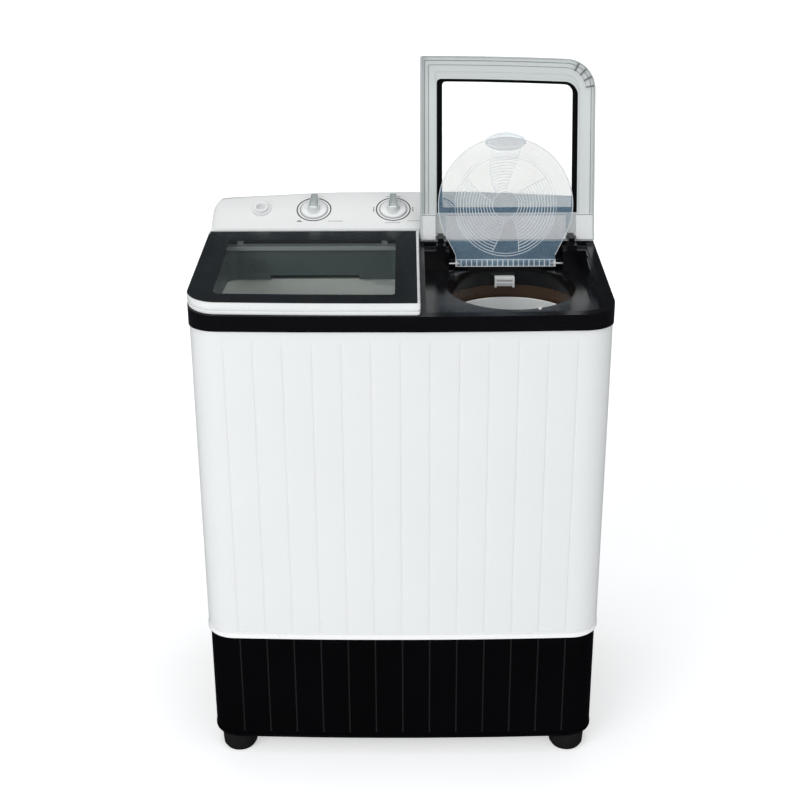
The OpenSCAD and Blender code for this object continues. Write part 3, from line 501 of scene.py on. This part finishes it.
def cabinet_shell():
    """Pressed wrapper of the cabinet with a rolled lip at the foot and a flange at the top."""
    rows = [(CAB_LO[2], 4.0, 6.5, 0), (CAB_LO[2], 1.9, 4.4, 0), (CAB_LO[2] + 0.5, 0.9, 3.4, 0),
            (CAB_LO[2] + 1.8, 0.5, 3.0, 0), (CAB_LO[2] + 6.0, 0.35, 2.9, 0),
            (CAB_LO[2] + 9.6, 0.6, 3.1, 0), (CAB_LO[2] + 11.0, 1.4, 3.9, 0),
            (CAB_LO[2] + 11.6, 3.2, 5.7, 0), (CAB_LO[2] + 12.8, 3.4, 5.9, 0),
            (CAB_LO[2] + 13.3, 2.5, 4.5, 0), (CAB_LO[2] + 14.2, 2.0, 4.0, 0.1),
            (CAB_LO[2] + 17.0, 2.0, 4.0, 0.85), (CAB_LO[2] + 24.0, 2.0, 4.0, 1)]
    rows += [(z, 2.0, 4.0, 1) for z in (400, 520, 640, 760, 850)]
    rows += [(874, 2.0, 4.0, 1), (884, 2.0, 4.0, 0.6), (889, 2.0, 4.0, 0), (CAB_HI[2] - 1, 2.0, 4.0, 0),
             (CAB_HI[2], 2.8, 4.8, 0), (CAB_HI[2], 5.0, 7.0, 0)]
    bm = bmesh.new()
    outer = [body_loop(z, i, b, 1.5 * k) for z, i, b, k in rows]
    inner = [body_loop(z, 5.0, 7.0, 0) for z in (CAB_HI[2] - 4, CAB_LO[2] + 2)]
    loops = outer + inner
    made = loft(bm, loops, ring=True)
    # The rolled lip rows take the brighter lip white: painted light.
    rail = {id(v) for row in made[:9] for v in row}
    for f in bm.faces:
        if all(id(v) in rail for v in f.verts):
            f.material_index = 1
    return bm


# ---------- lids ----------

SMALL_R = 4.0
SIDES = {"wash": (-1, -(SPLIT_X - 1.5)), "spin": (1, SPLIT_X + 1.5)}
NOSE = [(-12.0, -0.25), (-11.6, 0.0)] + [
    (AXIS_Y + 11.5 * math.cos(a), AXIS_Z + 11.5 * math.sin(a))
    for a in (math.radians(v) for v in (60, 50, 40, 30, 20, 10, 0))]
WASH_ARMS = (-330.0, -40.0)
SPIN_ARMS = (73.0, 336.0)


def lid_path(side, inset, outer_inset=None, rear=AXIS_Y, shift=0.0, edge=None, corner=SMALL_R):
    """Open outline of a lid: straight inner side, bowed front, big corner, outer side."""
    s, a = SIDES[side]
    out = inset if outer_inset is None else outer_inset
    arc, arc_out = front_right(inset, 16), front_right(out, 16)
    big = []
    for i, (p, q) in enumerate(zip(arc, arc_out)):
        w = i / 16
        w = w * w * (3 - 2 * w)
        big.append((p[0] * (1 - w) + q[0] * w, p[1] * (1 - w) + q[1] * w))
    x0 = (a if edge is None else edge) + (inset if edge is None else 0)
    cx = x0 + corner
    cy = bow_y(cx, inset) + corner
    small = [(cx - corner * math.cos(t), cy - corner * math.sin(t))
             for t in (PI / 2 * i / 6 for i in range(7))]
    bow = []
    for i in range(1, 22):
        x = cx + (arc[0][0] - cx) * i / 22
        bow.append((x, bow_y(x, inset)))
    off = -Y0 - LID_LEN + shift
    pts = [(x, y + off) for x, y in small + bow + big]
    pts = [(pts[0][0], rear)] + pts + [(pts[-1][0], rear)]
    return [(s * x, y) for x, y in pts]


def rim(side, section, rear=AXIS_Y):
    """Sweep a closed (inset, outer inset, z) section along three sides of a lid."""
    bm = bmesh.new()
    paths = [lid_path(side, i, o, rear) for i, o, _ in section]
    loft(bm, [[(*paths[k][j], section[k][2]) for k in range(len(section))]
              for j in range(len(paths[0]))])
    return bm


def flat_ring(bm, outer, hole, z0, z1):
    """Plate between a lid outline and a hole outline, both with the same count of points."""
    loft(bm, [[(x, y, z) for x, y in path] for path, z in
              ((outer, z0), (outer, z1), (hole, z1), (hole, z0))], ring=True)


def rod_x(bm, x, y, z, r, length, n=28):
    loft(bm, [[(x + d, y + r * math.cos(2 * PI * i / n), z + r * math.sin(2 * PI * i / n))
               for i in range(n)] for d in (0, length)])


def across(bm, x0, x1, profile):
    """Push a closed (y, z) profile along x."""
    loft(bm, [[(x, y, z) for y, z in profile] for x in (x0, x1)])


WINDOW = {"wash": dict(inset=41.0, outer_inset=40.0, shift=1.0, rear=-53.0, edge=4.0, corner=6.0),
          "spin": dict(inset=33.0, outer_inset=33.0, shift=10.0, rear=-63.0, edge=72.0, corner=9.0)}
CLEAR = {"wash": dict(inset=47.0, outer_inset=47.0, shift=0.0, rear=-60.0, edge=11.0, corner=6.0),
         "spin": dict(inset=45.0, outer_inset=45.0, shift=4.5, rear=-74.0, edge=83.0, corner=7.0)}
GLASS_EDGE = (5.2, 1.0)


def lid(side, place, body):
    s, a = SIDES[side]
    g, go = GLASS_EDGE
    section = [(g, go, -3.4), (g, go, -0.35), (g - 0.35, go * 0.85, -0.05),
               (3.2, 0.55, -0.2), (1.8, 0.35, -0.75), (0.8, 0.2, -1.7), (0.2, 0.08, -3.0),
               (0, 0, -4.6), (0, 0, -10.4), (0.4, 0.4, -11.0), (2.8, 2.8, -11.6),
               (2.8, 2.8, -13.9), (0.4, 0.4, -14.4), (0.2, 0.2, -15), (0.6, 0.6, -19),
               (1.1, 1.1, -21.4), (1.6, 1.6, -22), (2.7, 2.7, -22), (2.8, 2.8, -21.4)]
    if side == "spin":
        section += [(2.8, 2.8, -12.4), (3.4, 3.4, -11.6), (9.5, 9.0, -11.5),
                    (10.0, 12.0, -9.4), (16, 20, -7.6), (26, 28, -6.4), (30, 31, -6.2),
                    (30, 31, -3.5)]
    else:
        section += [(3.4, 3.4, -5.0), (8, 8, -4.2), (8, 8, -3.4)]
    bm = rim(side, section)
    hole = lid_path(side, **WINDOW[side])
    flat_ring(bm, lid_path(side, g - 0.5, go - 0.2, -12.0), hole, -4.0, -3.02)
    x1, x2 = sorted((s * a, s * HALF))
    across(bm, x1 + 0.4, x2 - 0.4, NOSE + [(AXIS_Y + 9, AXIS_Z)] + [
        (AXIS_Y + 9 * math.cos(t), AXIS_Z + 9 * math.sin(t))
        for t in (math.radians(v) for v in (15, 30, 42))] + [(-12.0, -3.5)])
    for x in (x1 + 0.05, x2 - 3):
        rod_x(bm, x, AXIS_Y, AXIS_Z, 9.99, 2.95, 40)
    for arm in WASH_ARMS if side == "wash" else SPIN_ARMS:
        for x in (arm - 14, arm + 16):
            rod_x(bm, x, AXIS_Y, AXIS_Z, 7, 10)
    if side == "spin":
        lo, hi = SPIN_ARMS
        foot = [(-59.6, -4.0), (-60, -18.2), (-59.2, -19), (-9, -19), (-8.2, -18.2),
                (-8.2, -10.2), (-12, -9.8), (-17, -4)]
        feet = bmesh.new()
        for b0, b1 in ((SPLIT_X + 4, lo - 4), (lo + 17, hi - 4), (hi + 17, 386.8)):
            across(feet, b0, b1, foot)
        new_piece("spin_lid_feet", feet, "lid_white", body, (), place, smooth=35)
        # Thin dark grey strips along the feet and at two steps of the moulding: painted shade for the
        # shadow lines there.
        shade_lines = bmesh.new()
        for b0, b1 in ((SPLIT_X + 4, lo - 4), (lo + 17, hi - 4), (hi + 17, 386.8)):
            block(shade_lines, (b0 + 0.5, -58.6, -19.3), (b1 - 0.5, -57.4, -18.0))
        for i, wide, z in ((8.4, 1.0, -10.8), (17.0, 0.7, -7.2)):
            line = rim(side, [(i, i, z), (i, i, z - 1.0), (i + wide, i + wide, z - 0.9),
                              (i + wide, i + wide, z)], -58.0)
            mesh = bpy.data.meshes.new("part")
            line.to_mesh(mesh)
            line.free()
            shade_lines.from_mesh(mesh)
            bpy.data.meshes.remove(mesh)
        new_piece("spin_lid_shade_lines", shade_lines, "rib", body, (), place, smooth=35)
        # The corner ribs are dark grey: painted shade for the shadows they cast.
        ribs = bmesh.new()
        corner_ribs(ribs)
        new_piece("spin_lid_ribs", ribs, "rib", body, (), place, smooth=35)
        edge_in = lid_path(side, 34.4, 34.4, -62, 10, edge=70.4, corner=10)
        edge_out = lid_path(side, 31.4, 31.4, -61, 10, edge=68.0, corner=12)
        flat_ring(bm, edge_out, edge_in, -7.2, -4.0)
    # The open spin lid's moulding takes the darker copy of the lid white as painted shade; its feet keep
    # the plain lid white.
    new_piece(side + "_lid_moulding", bm, "lid_white" if side == "wash" else "lid_inside",
              body, [side + "_lid_frame"], place, smooth=35)
    pane = bmesh.new()
    top = lid_path(side, g + 0.15, go + 0.1, -12.1)
    loft(pane, [[(x, y, z) for x, y in p] for p, z in
                ((top, -1.5), (top, -0.3), (lid_path(side, g + 0.5, go + 0.4, -12.5), 0.0))])
    new_piece(side + "_lid_pane", pane, "smoked" if side == "wash" else "glass", body,
              [side + "_lid_glass"], place, smooth=30)
    ink = bmesh.new()
    flat_ring(ink, lid_path(side, g + 0.15, go + 0.1, -12.15), lid_path(side, **CLEAR[side]),
              -2.98, -1.52)
    new_piece(side + "_lid_frit", ink, "frit" if side == "wash" else "bezel", body,
              [side + "_lid_border"], place, smooth=30)


def corner_ribs(bm):
    """Four short radial ribs in the rounded corner of the open lid."""
    cx, cy, rf, a0 = corner_data(0)
    off = -Y0 - LID_LEN
    for deg in (-62, -44, -26, -8):
        t = math.radians(deg)
        d, w = Vector((math.cos(t), math.sin(t))), Vector((-math.sin(t), math.cos(t))) * 1.2
        c = Vector((cx, cy + off))
        pts = []
        for r, sgn in ((rf - 19, -1), (rf - 3, -1), (rf - 3, 1), (rf - 19, 1)):
            pts.append(c + d * r + w * sgn)
        base = [bm.verts.new((p.x, p.y, -5.0)) for p in pts]
        tops = [bm.verts.new((p.x, p.y, z)) for p, z in zip(pts, (-10.5, -16.5, -16.5, -10.5))]
        bm.faces.new(base)
        bm.faces.new(tops[::-1])
        for i in range(4):
            j = (i + 1) % 4
            bm.faces.new([base[i], base[j], tops[j], tops[i]])


new_piece("cabinet_skin", cabinet_shell(), ["white", "lip"], "cabinet", ["cabinet"], smooth=50)
lid("wash", SHUT, "wash_lid")
lid("spin", OPENED, "spin_lid")

for name, width in (("base", 0.8), ("top_deck", 0.9), ("back_cover", 0.4),
                    ("wash_tub", 1.0), ("lint_filter", 0.6), ("spin_well", 0.6),
                    ("rinse_spout", 0.8), ("water_inlet", 0.7), ("wash_hinge_bar", 0.6),
                    ("spin_hinge_bar", 0.6), ("feet", 1.0), ("cord_gland", 0.6),
                    ("drain_outlet", 0.5), ("pulsator", 1.2), ("spin_basket", 0.3)):
    refine(name, width)


# ---------- safety lid ----------


def arc_strip(bm, r, width, z0, z1, a0, a1, centre=(0.0, DISC_REACH)):
    """Raised line along part of a circle."""
    n = max(4, int(abs(a1 - a0) / 4))
    loops = []
    for i in range(n + 1):
        t = math.radians(a0 + (a1 - a0) * i / n)
        c, s = math.cos(t), math.sin(t)
        loops.append([(centre[0] + q * c, centre[1] + q * s, z) for q, z in
                      ((r - width / 2, z0), (r + width / 2, z0), (r + width / 4, z1),
                       (r - width / 4, z1))])
    if abs(a1 - a0) >= 359.9:
        loft(bm, loops[:-1], ring=True)
    else:
        loft(bm, loops)


def line_strip(bm, points, width, z0, z1):
    """Raised line along a path in the plane of the lid."""
    loops = []
    for i, p in enumerate(points):
        a, b = Vector(points[max(i - 1, 0)]), Vector(points[min(i + 1, len(points) - 1)])
        t = (b - a).normalized()
        w = Vector((-t.y, t.x)) * width / 2
        q = Vector(p)
        loops.append([(*(q - w), z0), (*(q + w), z0), (*(q + w * 0.5), z1), (*(q - w * 0.5), z1)])
    loft(bm, loops)


def polar(r, deg):
    return (r * math.cos(math.radians(deg)), DISC_REACH + r * math.sin(math.radians(deg)))


def disc_outline(inset):
    r = DISC_R - inset
    pts = [polar(r, -21.5 + 223.0 * i / 72) for i in range(73)]
    return [(101 - inset, 17.2), *pts, (-101 + inset, 17.2), (-101 + inset, 3), (101 - inset, 3)]


def safety_lid():
    body = "safety_lid"
    bm = bmesh.new()
    prism(bm, disc_outline(0.6), -1.3, 1.3)
    block(bm, (-99.5, -4.8, -1.2), (99.5, 8.0, -0.2))
    new_piece("safety_lid_plate", bm, "blue", body, ["inner_lid"], SAFE, smooth=30)

    lines = bmesh.new()
    edge = disc_outline(0.8)
    line_strip(lines, edge[:-2] + [(-100.2, 4.0)], 1.7, -1.5, 2.6)
    arc_strip(lines, 102.0, 1.4, 1.2, 2.6, 195, 345)
    arc_strip(lines, 102.0, 0.9, 1.2, 2.0, -15, 195)
    arc_strip(lines, 26.8, 1.5, 1.2, 2.6, 0, 360)
    swirl = {34: 45, 73: 88, 109: 130, 145: 163, 254: 266, 286: 301}
    for outer, inner in swirl.items():
        pts = []
        for i in range(9):
            w = i / 8
            pts.append(polar(31.0 + (97.0 - 31.0) * w, inner + (outer - inner) * w ** 0.75))
        line_strip(lines, pts, 1.3, 1.2, 2.4)
    fans = ((73, 109, 88, 130), (145, 254, 163, 266), (-74, 34, -59, 45))
    for o0, o1, i0, i1 in fans:
        for k in range(12):
            w = (k / 11)
            r = 32.5 + 64.5 * w
            e = w ** 0.75
            arc_strip(lines, r, 1.5, 1.2, 2.6, i0 + (o0 - i0) * e, i1 + (o1 - i1) * e)
    for o0, o1 in ((34, 73), (109, 145), (254, 286)):
        arc_strip(lines, 97.0, 1.1, 1.2, 2.2, o0, o1)
    for y0, y1 in ((-6.0, -4.6), (7.6, 9.0)):
        block(lines, (-101, y0, -1.5), (101, y1, 4.5))
    for i in range(20):
        x = -99.9 + i * 199.8 / 19
        block(lines, (x - 0.9, -4.8, -1.5), (x + 0.9, 7.8, 3.8))
    for s in (-1, 1):
        rod_x(lines, 99.0 * s - 2.0, 0, 0, 5.6, 4.0)
    new_piece("safety_lid_lines", lines, "blue_edge", body, (), SAFE, smooth=30)

    grip = bmesh.new()
    loops = []
    for i in range(33):
        x = -40 + 80 * i / 32
        k = max(0.0, 1 - (x / 40) ** 2) ** 0.5
        ye = DISC_REACH + math.sqrt(DISC_R ** 2 - x * x) - 0.5
        out = ye + 9.5 * k
        loops.append([(x, ye - 26 * k - 1, -1.45), (x, ye - 8, -1.5 - 7 * k), (x, out - 3, -1.6 - 9 * k),
                      (x, out, -1.4 - 8 * k), (x, out + 0.2, -0.2 - 3.5 * k), (x, out - 2, 0.2 - 3.5 * k),
                      (x, out - 4, -0.4 - 6 * k), (x, ye - 9, -0.4 - 4.5 * k), (x, ye - 22 * k - 2, 1.42)])
    loft(grip, loops)
    line_strip(grip, [(-35, 246), (-24, 211), (24, 211), (35, 246)], 1.2, 1.2, 2.4)
    new_piece("safety_lid_grip", grip, "frosted", body, (), SAFE, smooth=40)


safety_lid()
for clear_part in ("safety_lid_plate", "safety_lid_lines", "safety_lid_grip", "spin_lid_pane"):
    bpy.data.objects[clear_part].visible_shadow = False


# ---------- controls ----------


def knob(node, x, body):
    place = on_panel(x)
    disc = bmesh.new()
    disc_lathe(disc, [(3.0, 0.5), (26.6, 0.5), (27.3, 0.9), (27.1, 1.7), (26.0, 2.5),
                      (24.0, 2.9), (14.5, 3.3), (13.3, 4.4), (12.4, 6.0), (11.9, 13.6), (11.3, 14.6),
                      (10.2, 15.0)], 72)
    new_piece(node + "_hub", disc, "knob", body, [node], place, smooth=38)
    blade = bmesh.new()
    loops = []
    for y, half, low, high in ((-7.5, 8.4, 3.2, 15.4), (-6.8, 9.2, 3.0, 16.2), (-4, 9.4, 2.9, 16.4),
                               (6, 8.6, 2.9, 16.2), (18, 7.3, 3.2, 15.6), (28, 6.5, 4.4, 14.8),
                               (33, 6.1, 5.4, 14.2), (34.2, 5.6, 6.0, 13.6)):
        b = 0.9
        loops.append([(-half - 0.9, y, low), (half + 0.9, y, low), (half + 0.2, y, high - b),
                      (half - b, y, high), (half - 1.9, y, high - 0.7), (-half + 1.9, y, high - 0.7),
                      (-half + b, y, high), (-half - 0.2, y, high - b)])
    loft(blade, loops)
    new_piece(node + "_grip", blade, "knob_grip", body, (), place, smooth=40)


for node, x, body in KNOBS:
    knob(node, x, body)


def flat_arc(bm, r0, r1, a0, a1, top=0.24):
    n = max(6, int((a1 - a0) / 3))
    loops = []
    for i in range(n + 1):
        t = math.radians(a0 + (a1 - a0) * i / n)
        loops.append([(r * math.cos(t), r * math.sin(t), z) for r, z in
                      ((r0, -0.3), (r1, -0.3), (r1, top), (r0, top))])
    loft(bm, loops)


def marks():
    """Printed dial rings and a few plain ticks on the panel."""
    dark, grey = bmesh.new(), bmesh.new()
    for i, x in enumerate(CONTROLS_X[1:]):
        ring, pale = bmesh.new(), bmesh.new()
        flat_arc(ring, DIAL_R - 2.7, DIAL_R - 0.3, 105, 435)
        flat_arc(pale, 28.0, 29.3, 112, 428)
        if i == 1:
            for s in (-1, 1):
                for k in range(3):
                    block(ring, (s * 40.5 - 1.1, -7 + k * 5.0, -0.3), (s * 40.5 + 1.1, -4 + k * 5.0, 0.22))
            for k in range(7):
                block(ring, (-16 + k * 4.6, -42.2, -0.3), (-13 + k * 4.6, -41, 0.22))
            block(ring, (-14, 38.6, -0.3), (-8.6, 39.7, 0.22))
            block(ring, (8.6, 38.6, -0.3), (14, 39.7, 0.22))
        else:
            block(ring, (-34, -37.6, -0.3), (-23, -36.2, 0.22))
            block(ring, (-31, -35.2, -0.3), (-26, -33.8, 0.22))
        for k in range(8):
            block(ring, (31 + k * 3.9, -36.8, -0.3), (33.4 + k * 3.9, -35.6, 0.22))
        for source, target in ((ring, dark), (pale, grey)):
            source.transform(on_panel(x))
            mesh = bpy.data.meshes.new("part")
            source.to_mesh(mesh)
            source.free()
            target.from_mesh(mesh)
            bpy.data.meshes.remove(mesh)
    new_piece("dial_marks", dark, "ring", "cabinet", ["dial_rings"], smooth=30)
    new_piece("dial_inner_rings", grey, "ring_grey", "cabinet", (), smooth=30)


marks()


def inlet():
    place = on_panel(CONTROLS_X[0])
    bm = bmesh.new()
    lathe(bm, [(7.0, -13.9), (14.9, -13.9), (14.9, 0.02), (18.9, 0.05), (19.0, 1.6), (18.4, 2.6),
               (17.2, 3.0), (15.3, 3.05), (14.9, 4.6), (14.7, 8.4), (14.2, 9.2), (13.4, 9.5),
               (11.0, 9.5), (10.2, 9.0), (10.0, 8.2), (10.0, 0.5), (7.0, 0.5)], 72)
    new_piece("inlet_boss", bm, "part_white", "cabinet", ["water_inlet"], place, smooth=40)


inlet()


def inlet_grille():
    """Slats across the mouth of the water duct in the back wall of the wash opening."""
    bm = bmesh.new()
    x = CONTROLS_X[0]
    for k in range(4):
        block(bm, (x - 14.7, 90.0, 929.5 + 4.85 * k), (x + 14.7, 91.4, 933.8 + 4.85 * k))
    new_piece("inlet_grille", bm, "collar", "cabinet", (), smooth=30)


inlet_grille()


# ---------- base skirt and control panel ----------


def skirt_loop(z, inset, depth):
    """C-shaped outline of the base, open at the back, with its grooves."""
    outer = [(x, y) for x, y, _ in body_loop(0, inset, 7.0, depth)[:-REAR_POINTS]]
    inner = [(x, y) for x, y, _ in body_loop(0, inset + 2.0, 9.0, 0)[:-REAR_POINTS]]
    outer = [(-HALF + inset, Y1 - 40)] + outer + [(HALF - inset, Y1 - 40)]
    inner = [(-HALF + inset + 2, Y1 - 40)] + inner + [(HALF - inset - 2, Y1 - 40)]
    return [(x, y, z) for x, y in outer + inner[::-1]]


def base_skin():
    """Skin over the front and sides of the base, with a lighter line down each of its grooves: a painted
    highlight.
    """
    bm = bmesh.new()
    rows = [(46.5, 5.9, 0), (47.0, 5.55, 0), (50, 5.5, 0), (53, 5.5, 0.2), (56, 5.5, 1)]
    rows += [(z, 5.5, 1) for z in (90, 130, 170, 210, 240)]
    rows += [(BASE_TOP - 3, 5.5, 1), (BASE_TOP, 5.7, 1)]
    made = loft(bm, [skirt_loop(z, i, 0.9 * k) for z, i, k in rows])
    # The middle faces of each of the grooves take the lighter material: a painted highlight.
    groove_highlight = set()
    for i, _ in enumerate(GROOVES):
        first = 1 + CORNER_POINTS + i * len(GROOVE_SHAPE)
        for row in made[3:]:
            groove_highlight.update(id(v) for v in row[first + 2:first + 7])
    for f in bm.faces:
        if len(f.verts) == 4 and all(id(v) in groove_highlight for v in f.verts):
            f.material_index = 1
    new_piece("base_skin", bm, ["satin", "groove_highlight"], "cabinet", (), smooth=50)


BASE_TOP = CAB_Z - 0.2
base_skin()


def panel_piece():
    """Moulded control panel with a crowned top and round ends."""
    bm = bmesh.new()
    crown = (HALF ** 2 + 144) / 24
    low = DECK_Z + 84.3
    loops = []
    ends, round_r = 10, 19.0
    xs = []
    for i in range(ends + 1):
        t = PI / 2 * i / ends
        xs.append((-HALF + 1.0 + round_r * (1 - math.cos(t)), math.sin(t)))
    mids = [(x * (HALF - 22) / 12, 1.0) for x in range(-11, 12)]
    stations = xs + mids + [(-x, k) for x, k in reversed(xs)]
    for x, k in stations:
        drop = round_r * (1 - k)
        top = PANEL_TOP_Z - crown + math.sqrt(crown * crown - x * x) - drop
        front = PANEL_Y + 0.15 + drop * 0.12
        slope = math.tan(PANEL_A)
        back = Y1 - 0.2 - drop * 0.5
        off = 0.12 + drop * 0.12

        def z_on(y):
            return LID_REAR_Z + (y - PANEL_Y) * slope - off

        y_top = min(PANEL_Y + (top + off - LID_REAR_Z) / slope, back)
        z_top = min(top, z_on(back))
        y_top = min(y_top, back - 3)
        pts = [(front, low - 4.6), (front, LID_REAR_Z - off - 2.6), (front + 0.6, LID_REAR_Z - off - 1.0),
               (front + 2.4, z_on(front + 2.4)), (y_top - 4, z_on(y_top - 4)),
               (y_top - 1.2, z_on(y_top - 1.2) - 0.25), (y_top + 1.2, min(z_top, z_on(y_top + 1.2)) - 0.9),
               (back - 0.8, z_top - 2.4), (back, z_top - 4.2), (back, low), (PANEL_Y + 37.2, low),
               (front + 4, low - 4.6)]
        loops.append([(x, y, z) for y, z in pts])
    loft(bm, loops)
    new_piece("control_panel_shell", bm, "panel_white", "cabinet", ["control_panel"], smooth=28)


panel_piece()

DECK = frame["nodes"]["top_deck"].data
DECK.materials.append(M["collar"])
for poly in DECK.polygons:
    c = Vector(poly.center) / MM
    across_wall = abs(poly.normal.z) < 0.3
    if -362 < c.x < 12 and -216 < c.y < 100 and across_wall and c.z > DECK_Z - 12:
        if abs(c.x + 175) < 185 and c.y > Y0 + 14:
            poly.material_index = 1


# ---------- studio ----------

WORLD = 0.62
PHOTO_PX = 800
FOCAL_PX = 1235.47
CENTRE_ROW = 369.96
EYE = (0.01152, -2.33144, 1.59137)
PITCH, YAW, ROLL = (math.radians(v) for v in (19.88, -0.37, -0.30))


def studio():
    """Pale floor that curves up behind, soft lights and the world around them."""
    bm = bmesh.new()
    rows = [(-30.0, 0.0), (4.0, 0.0)]
    rows += [(4.0 + 1.6 * math.sin(t), 1.6 - 1.6 * math.cos(t))
             for t in (PI / 2 * i / 16 for i in range(1, 17))]
    for x in (-20.0, 20.0):
        for y, z in rows:
            bm.verts.new((x, y, z))
    bm.verts.ensure_lookup_table()
    n = len(rows)
    for i in range(n - 1):
        bm.faces.new([bm.verts[i], bm.verts[n + i], bm.verts[n + i + 1], bm.verts[i + 1]])
    mesh = bpy.data.meshes.new("floor")
    bm.to_mesh(mesh)
    bm.free()
    floor = bpy.data.objects.new("floor", mesh)
    bpy.context.scene.collection.objects.link(floor)
    for p in mesh.polygons:
        p.use_smooth = True
    t = Tree("floor_paper")
    t.plug(Base_Color=t.ramp(t.noise(1.5), [(0.3, (0.86, 0.865, 0.87)), (0.7, (0.88, 0.885, 0.89))]),
           Roughness=t.span(t.noise(12.0), 0.75, 0.85), Normal=t.bump(t.noise(500.0), 0.00005))
    t.set(Emission_Color=(1.0, 1.0, 1.0, 1.0), Emission_Strength=0.5)
    mesh.materials.append(t.mat)
    floor.visible_glossy = False

    def lamp(name, size, place, aim, power, color=(1, 1, 1)):
        data = bpy.data.lights.new(name, "AREA")
        data.shape = "RECTANGLE"
        data.size, data.size_y = size
        data.energy = power
        data.color = color
        ob = bpy.data.objects.new(name, data)
        bpy.context.scene.collection.objects.link(ob)
        ob.location = place
        ob.rotation_euler = (Vector(aim) - Vector(place)).to_track_quat("-Z", "Y").to_euler()
        ob.visible_camera = False
        ob.visible_glossy = name != "back_floor"

    lamp("key", (2.4, 1.8), (-2.3, -3.0, 2.1), (0, 0, 0.7), 46)
    lamp("fill", (2.4, 2.4), (2.6, -3.2, 1.7), (0, 0, 0.6), 17)
    lamp("top", (2.6, 1.6), (0.0, 0.3, 3.6), (0, 0, 0.8), 36)
    lamp("back_floor", (5.0, 1.2), (0.0, 3.4, 2.2), (0, 4.2, 0.4), 42)
    world = bpy.data.worlds.new("studio")
    world.use_nodes = True
    nodes, links = world.node_tree.nodes, world.node_tree.links
    split = nodes.new("ShaderNodeSeparateXYZ")
    links.new(nodes.new("ShaderNodeTexCoord").outputs["Generated"], split.inputs["Vector"])

    def smooth(value, low, high):
        m = nodes.new("ShaderNodeMapRange")
        m.interpolation_type = "SMOOTHSTEP"
        m.inputs["From Min"].default_value = low
        m.inputs["From Max"].default_value = high
        links.new(value, m.inputs["Value"])
        return m.outputs["Result"]

    dark = nodes.new("ShaderNodeMath")
    dark.operation = "MULTIPLY"
    links.new(smooth(split.outputs["Y"], -0.5, 0.2), dark.inputs[0])
    links.new(smooth(split.outputs["Z"], -0.05, 0.16), dark.inputs[1])
    low = nodes.new("ShaderNodeMath")
    low.operation = "MAXIMUM"
    links.new(dark.outputs["Value"], low.inputs[0])
    links.new(smooth(split.outputs["Z"], 0.05, -0.12), low.inputs[1])
    tone = nodes.new("ShaderNodeMix")
    tone.data_type = "RGBA"
    links.new(low.outputs["Value"], tone.inputs["Factor"])
    tone.inputs["A"].default_value = (0.93, 0.95, 0.97, 1)
    tone.inputs["B"].default_value = (0.07, 0.073, 0.08, 1)
    links.new(tone.outputs["Result"], nodes["Background"].inputs["Color"])
    nodes["Background"].inputs["Strength"].default_value = WORLD
    bpy.context.scene.world = world


def camera():
    """Camera fitted to the photograph."""
    data = bpy.data.cameras.new("photo_camera")
    data.sensor_width = 36.0
    data.lens = FOCAL_PX * data.sensor_width / PHOTO_PX
    data.shift_y = (CENTRE_ROW - PHOTO_PX / 2) / PHOTO_PX
    data.clip_start, data.clip_end = 0.05, 40
    ob = bpy.data.objects.new("photo_camera", data)
    bpy.context.scene.collection.objects.link(ob)
    turned = Matrix.Rotation(-YAW, 4, "Z") @ Matrix.Rotation(PI / 2 - PITCH, 4, "X")
    ob.matrix_world = Matrix.Translation(EYE) @ turned @ Matrix.Rotation(ROLL, 4, "Z")
    bpy.context.scene.camera = ob
    bpy.context.scene.view_settings.view_transform = "Standard"


studio()
camera()
bpy.context.view_layer.update()
